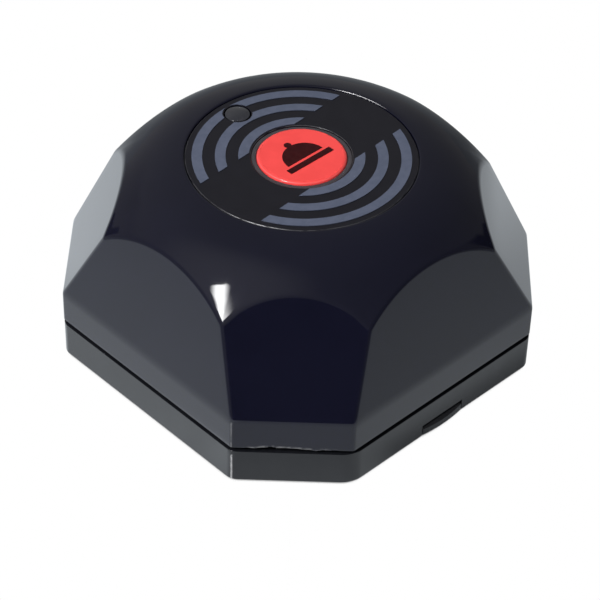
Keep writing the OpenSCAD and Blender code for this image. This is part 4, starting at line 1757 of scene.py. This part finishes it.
@dataclass
class Studio:
    """White sweep, soft lamps and the camera at the photograph's place."""

    focal_px: float = 2389.6
    image_px: float = 600.0
    sensor: float = 36.0
    distance: float = 418.18
    elevation: float = 41.584
    azimuth: float = -44.745
    roll: float = 1.627
    offset_px: Span = (-2.8, 19.5)
    aim_z: float = 0.5
    clip_start: float = 10.0
    floor_half: float = 3000.0
    floor_look: FloorLook = FloorLook()
    floor_white: Colour = (0.8, 0.8, 0.8)
    mirrored_white: Colour = (0.845, 0.905, 0.955)
    contact_reach: float = 3.0
    contact_samples: int = 8
    contact_open: Span = (0.03, 0.42)
    contact_dark: float = 0.05
    room_look: RoomLook = RoomLook()
    ambient: float = 0.25
    lamp_turn: float = 178.8
    lamp_rise: float = 44.2
    lamp_distance: float = 500.0
    lamp_size: Span = (130.0, 200.0)
    lamp_power: float = 2.2
    diffuser_half: Span = (5.2, 10.0)
    diffuser_lift: float = -4.2
    diffuser_roll: float = 35.0
    diffuser_glow: float = 30.0
    diffuser_fade: Span = (0.2, 1.0)
    fill_place: Triple = (-250.0, -300.0, 1100.0)
    fill_size: Span = (1000.0, 1000.0)
    fill_power: float = 4.6

    def camera(self) -> None:
        """Set up the camera."""
        rise, turn, roll = (math.radians(a) for a in (self.elevation, self.azimuth, self.roll))
        back = Vector((math.sin(turn) * math.cos(rise), -math.cos(turn) * math.cos(rise), math.sin(rise)))
        level = Vector((math.cos(turn), math.sin(turn), 0.0))
        upward = back.cross(level)
        right = math.cos(roll) * level + math.sin(roll) * upward
        up = math.cos(roll) * upward - math.sin(roll) * level
        data = bpy.data.cameras.new("camera")
        data.sensor_width = self.sensor
        data.lens = self.focal_px * self.sensor / self.image_px
        data.shift_x = -self.offset_px[0] / self.image_px
        data.shift_y = self.offset_px[1] / self.image_px
        data.clip_start = self.clip_start * MM
        obj = bpy.data.objects.new("camera", data)
        place = (back * self.distance + Vector((0.0, 0.0, self.aim_z))) * MM
        obj.matrix_world = Matrix((right, up, back)).transposed().to_4x4()
        obj.matrix_world.translation = place
        bpy.context.scene.collection.objects.link(obj)
        bpy.context.scene.camera = obj

    def floor(self) -> None:
        """Lay the floor: white to the camera but for a contact shadow, and in grey fields to the gloss."""
        rest_selection()
        bpy.ops.mesh.primitive_plane_add(size=2 * self.floor_half * MM)
        obj = new_piece("sweep_floor")
        material, sheet = new_material("sweep_white")
        path = sheet.add("ShaderNodeLightPath").outputs
        camera = path["Is Camera Ray"]
        reach = {"Distance": self.contact_reach * MM}
        shut_in = sheet.add("ShaderNodeAmbientOcclusion", reach, samples=self.contact_samples)
        contact = sheet.band(shut_in.outputs["AO"], *self.contact_open, self.contact_dark, 1.0)
        mirrored = sheet.product(sheet.rest_of(camera), self.floor_look.level(sheet))
        strength = sheet.maths("ADD", sheet.product(camera, contact), mirrored)
        colour = sheet.blend(camera, self.mirrored_white, WHITE)
        glow = sheet.add("ShaderNodeEmission", {"Color": colour, "Strength": strength})
        white = sheet.add("ShaderNodeBsdfDiffuse", {"Color": (*self.floor_white, 1.0)})
        seen = sheet.chain("MAXIMUM", [camera, path["Is Glossy Ray"], path["Is Transmission Ray"]])
        sheet.surface(sheet.add("ShaderNodeMixShader", {0: seen, 1: white.outputs[0], 2: glow.outputs[0]}))
        obj.data.materials.append(material)

    def world(self) -> None:
        """Light the room: white to the camera, even to matt surfaces, and in grey fields to the gloss."""
        world = bpy.data.worlds.new("room")
        world.use_nodes = True
        bpy.context.scene.world = world
        sheet = NodeSheet(world.node_tree)
        path = sheet.add("ShaderNodeLightPath").outputs
        glossy = path["Is Glossy Ray"]
        soft = sheet.product(sheet.rest_of(glossy), self.ambient)
        mirrored = sheet.product(glossy, self.room_look.level(sheet, self.lamp_heading()))
        seen = sheet.maths("MAXIMUM", path["Is Camera Ray"], sheet.maths("ADD", soft, mirrored))
        back = sheet.add("ShaderNodeBackground", {"Color": (*WHITE, 1.0), "Strength": seen})
        sheet.add("ShaderNodeOutputWorld", {"Surface": back.outputs[0]})

    def area(self, name: str, place: Vector, size: Span, power: float) -> None:
        """Hang one soft lamp that looks at the object and whose own image the gloss doesn't show.

        Args:
            name: Name of the lamp.
            place: Where it hangs, in millimetres.
            size: Its width and height in millimetres.
            power: Its power in watts.
        """
        data = bpy.data.lights.new(name, "AREA")
        data.shape = "RECTANGLE"
        data.size, data.size_y = (side * MM for side in size)
        data.energy = power
        obj = bpy.data.objects.new(name, data)
        obj.location = place * MM
        obj.rotation_euler = place.to_track_quat("Z", "Y").to_euler()
        obj.visible_camera = False
        obj.visible_glossy = False
        bpy.context.scene.collection.objects.link(obj)

    def lamp_heading(self) -> Vector:
        """Direction from the object to the side lamp."""
        rise, turn = math.radians(self.lamp_rise), math.radians(self.lamp_turn)
        return Vector((math.cos(rise) * math.cos(turn), math.cos(rise) * math.sin(turn), math.sin(rise)))

    def lamps(self) -> None:
        """Hang the side lamp and the overhead fill."""
        self.area("side_lamp", self.lamp_heading() * self.lamp_distance, self.lamp_size, self.lamp_power)
        self.area("fill_lamp", Vector(self.fill_place), self.fill_size, self.fill_power)

    def diffuser(self) -> None:
        """Hang the side lamp's white diffuser, which only the gloss shows, bright in its middle."""
        toward = self.lamp_heading()
        turn = math.radians(self.lamp_turn)
        round_about = Vector((-math.sin(turn), math.cos(turn), 0.0))
        over = toward.cross(round_about)
        roll = math.radians(self.diffuser_roll)
        wide = math.cos(roll) * round_about + math.sin(roll) * over
        tall = math.cos(roll) * over - math.sin(roll) * round_about
        rest_selection()
        bpy.ops.mesh.primitive_plane_add(size=2.0)
        obj = new_piece("lamp_diffuser")
        distance = self.lamp_distance * MM
        half_w, half_h = (math.tan(math.radians(a)) * distance for a in self.diffuser_half)
        grid = Matrix((wide * half_w, tall * half_h, toward)).transposed().to_4x4()
        grid.translation = (toward + tall * math.tan(math.radians(self.diffuser_lift))) * distance
        obj.matrix_world = grid
        material, sheet = new_material("diffuser_glow")
        width = sheet.maths("ABSOLUTE", sheet.along(sheet.place(), X_AXIS))
        strength = sheet.band(width, *self.diffuser_fade, self.diffuser_glow, 0.0)
        sheet.surface(sheet.add("ShaderNodeEmission", {"Color": (*WHITE, 1.0), "Strength": strength}))
        obj.data.materials.append(material)
        for ray in ("camera", "diffuse", "transmission", "volume_scatter", "shadow"):
            setattr(obj, f"visible_{ray}", False)

    def set_up(self) -> None:
        """Build the whole studio."""
        self.camera()
        self.floor()
        self.world()
        self.lamps()
        self.diffuser()
        bpy.context.scene.view_settings.view_transform = "Standard"


def main() -> None:
    """Build the studio and each sub-assembly."""
    logging.basicConfig(level=logging.INFO, format="%(name)s: %(message)s")
    Studio().set_up()
    paints = Paints(FINISHES)
    for assembly in (Lid(), Base(), Panel(), Button(), Battery(), Electronics()):
        assembly.dress(paints)
        LOG.info("%s done", type(assembly).__name__)
    rest_selection()


if __name__ == "__main__":
    main()
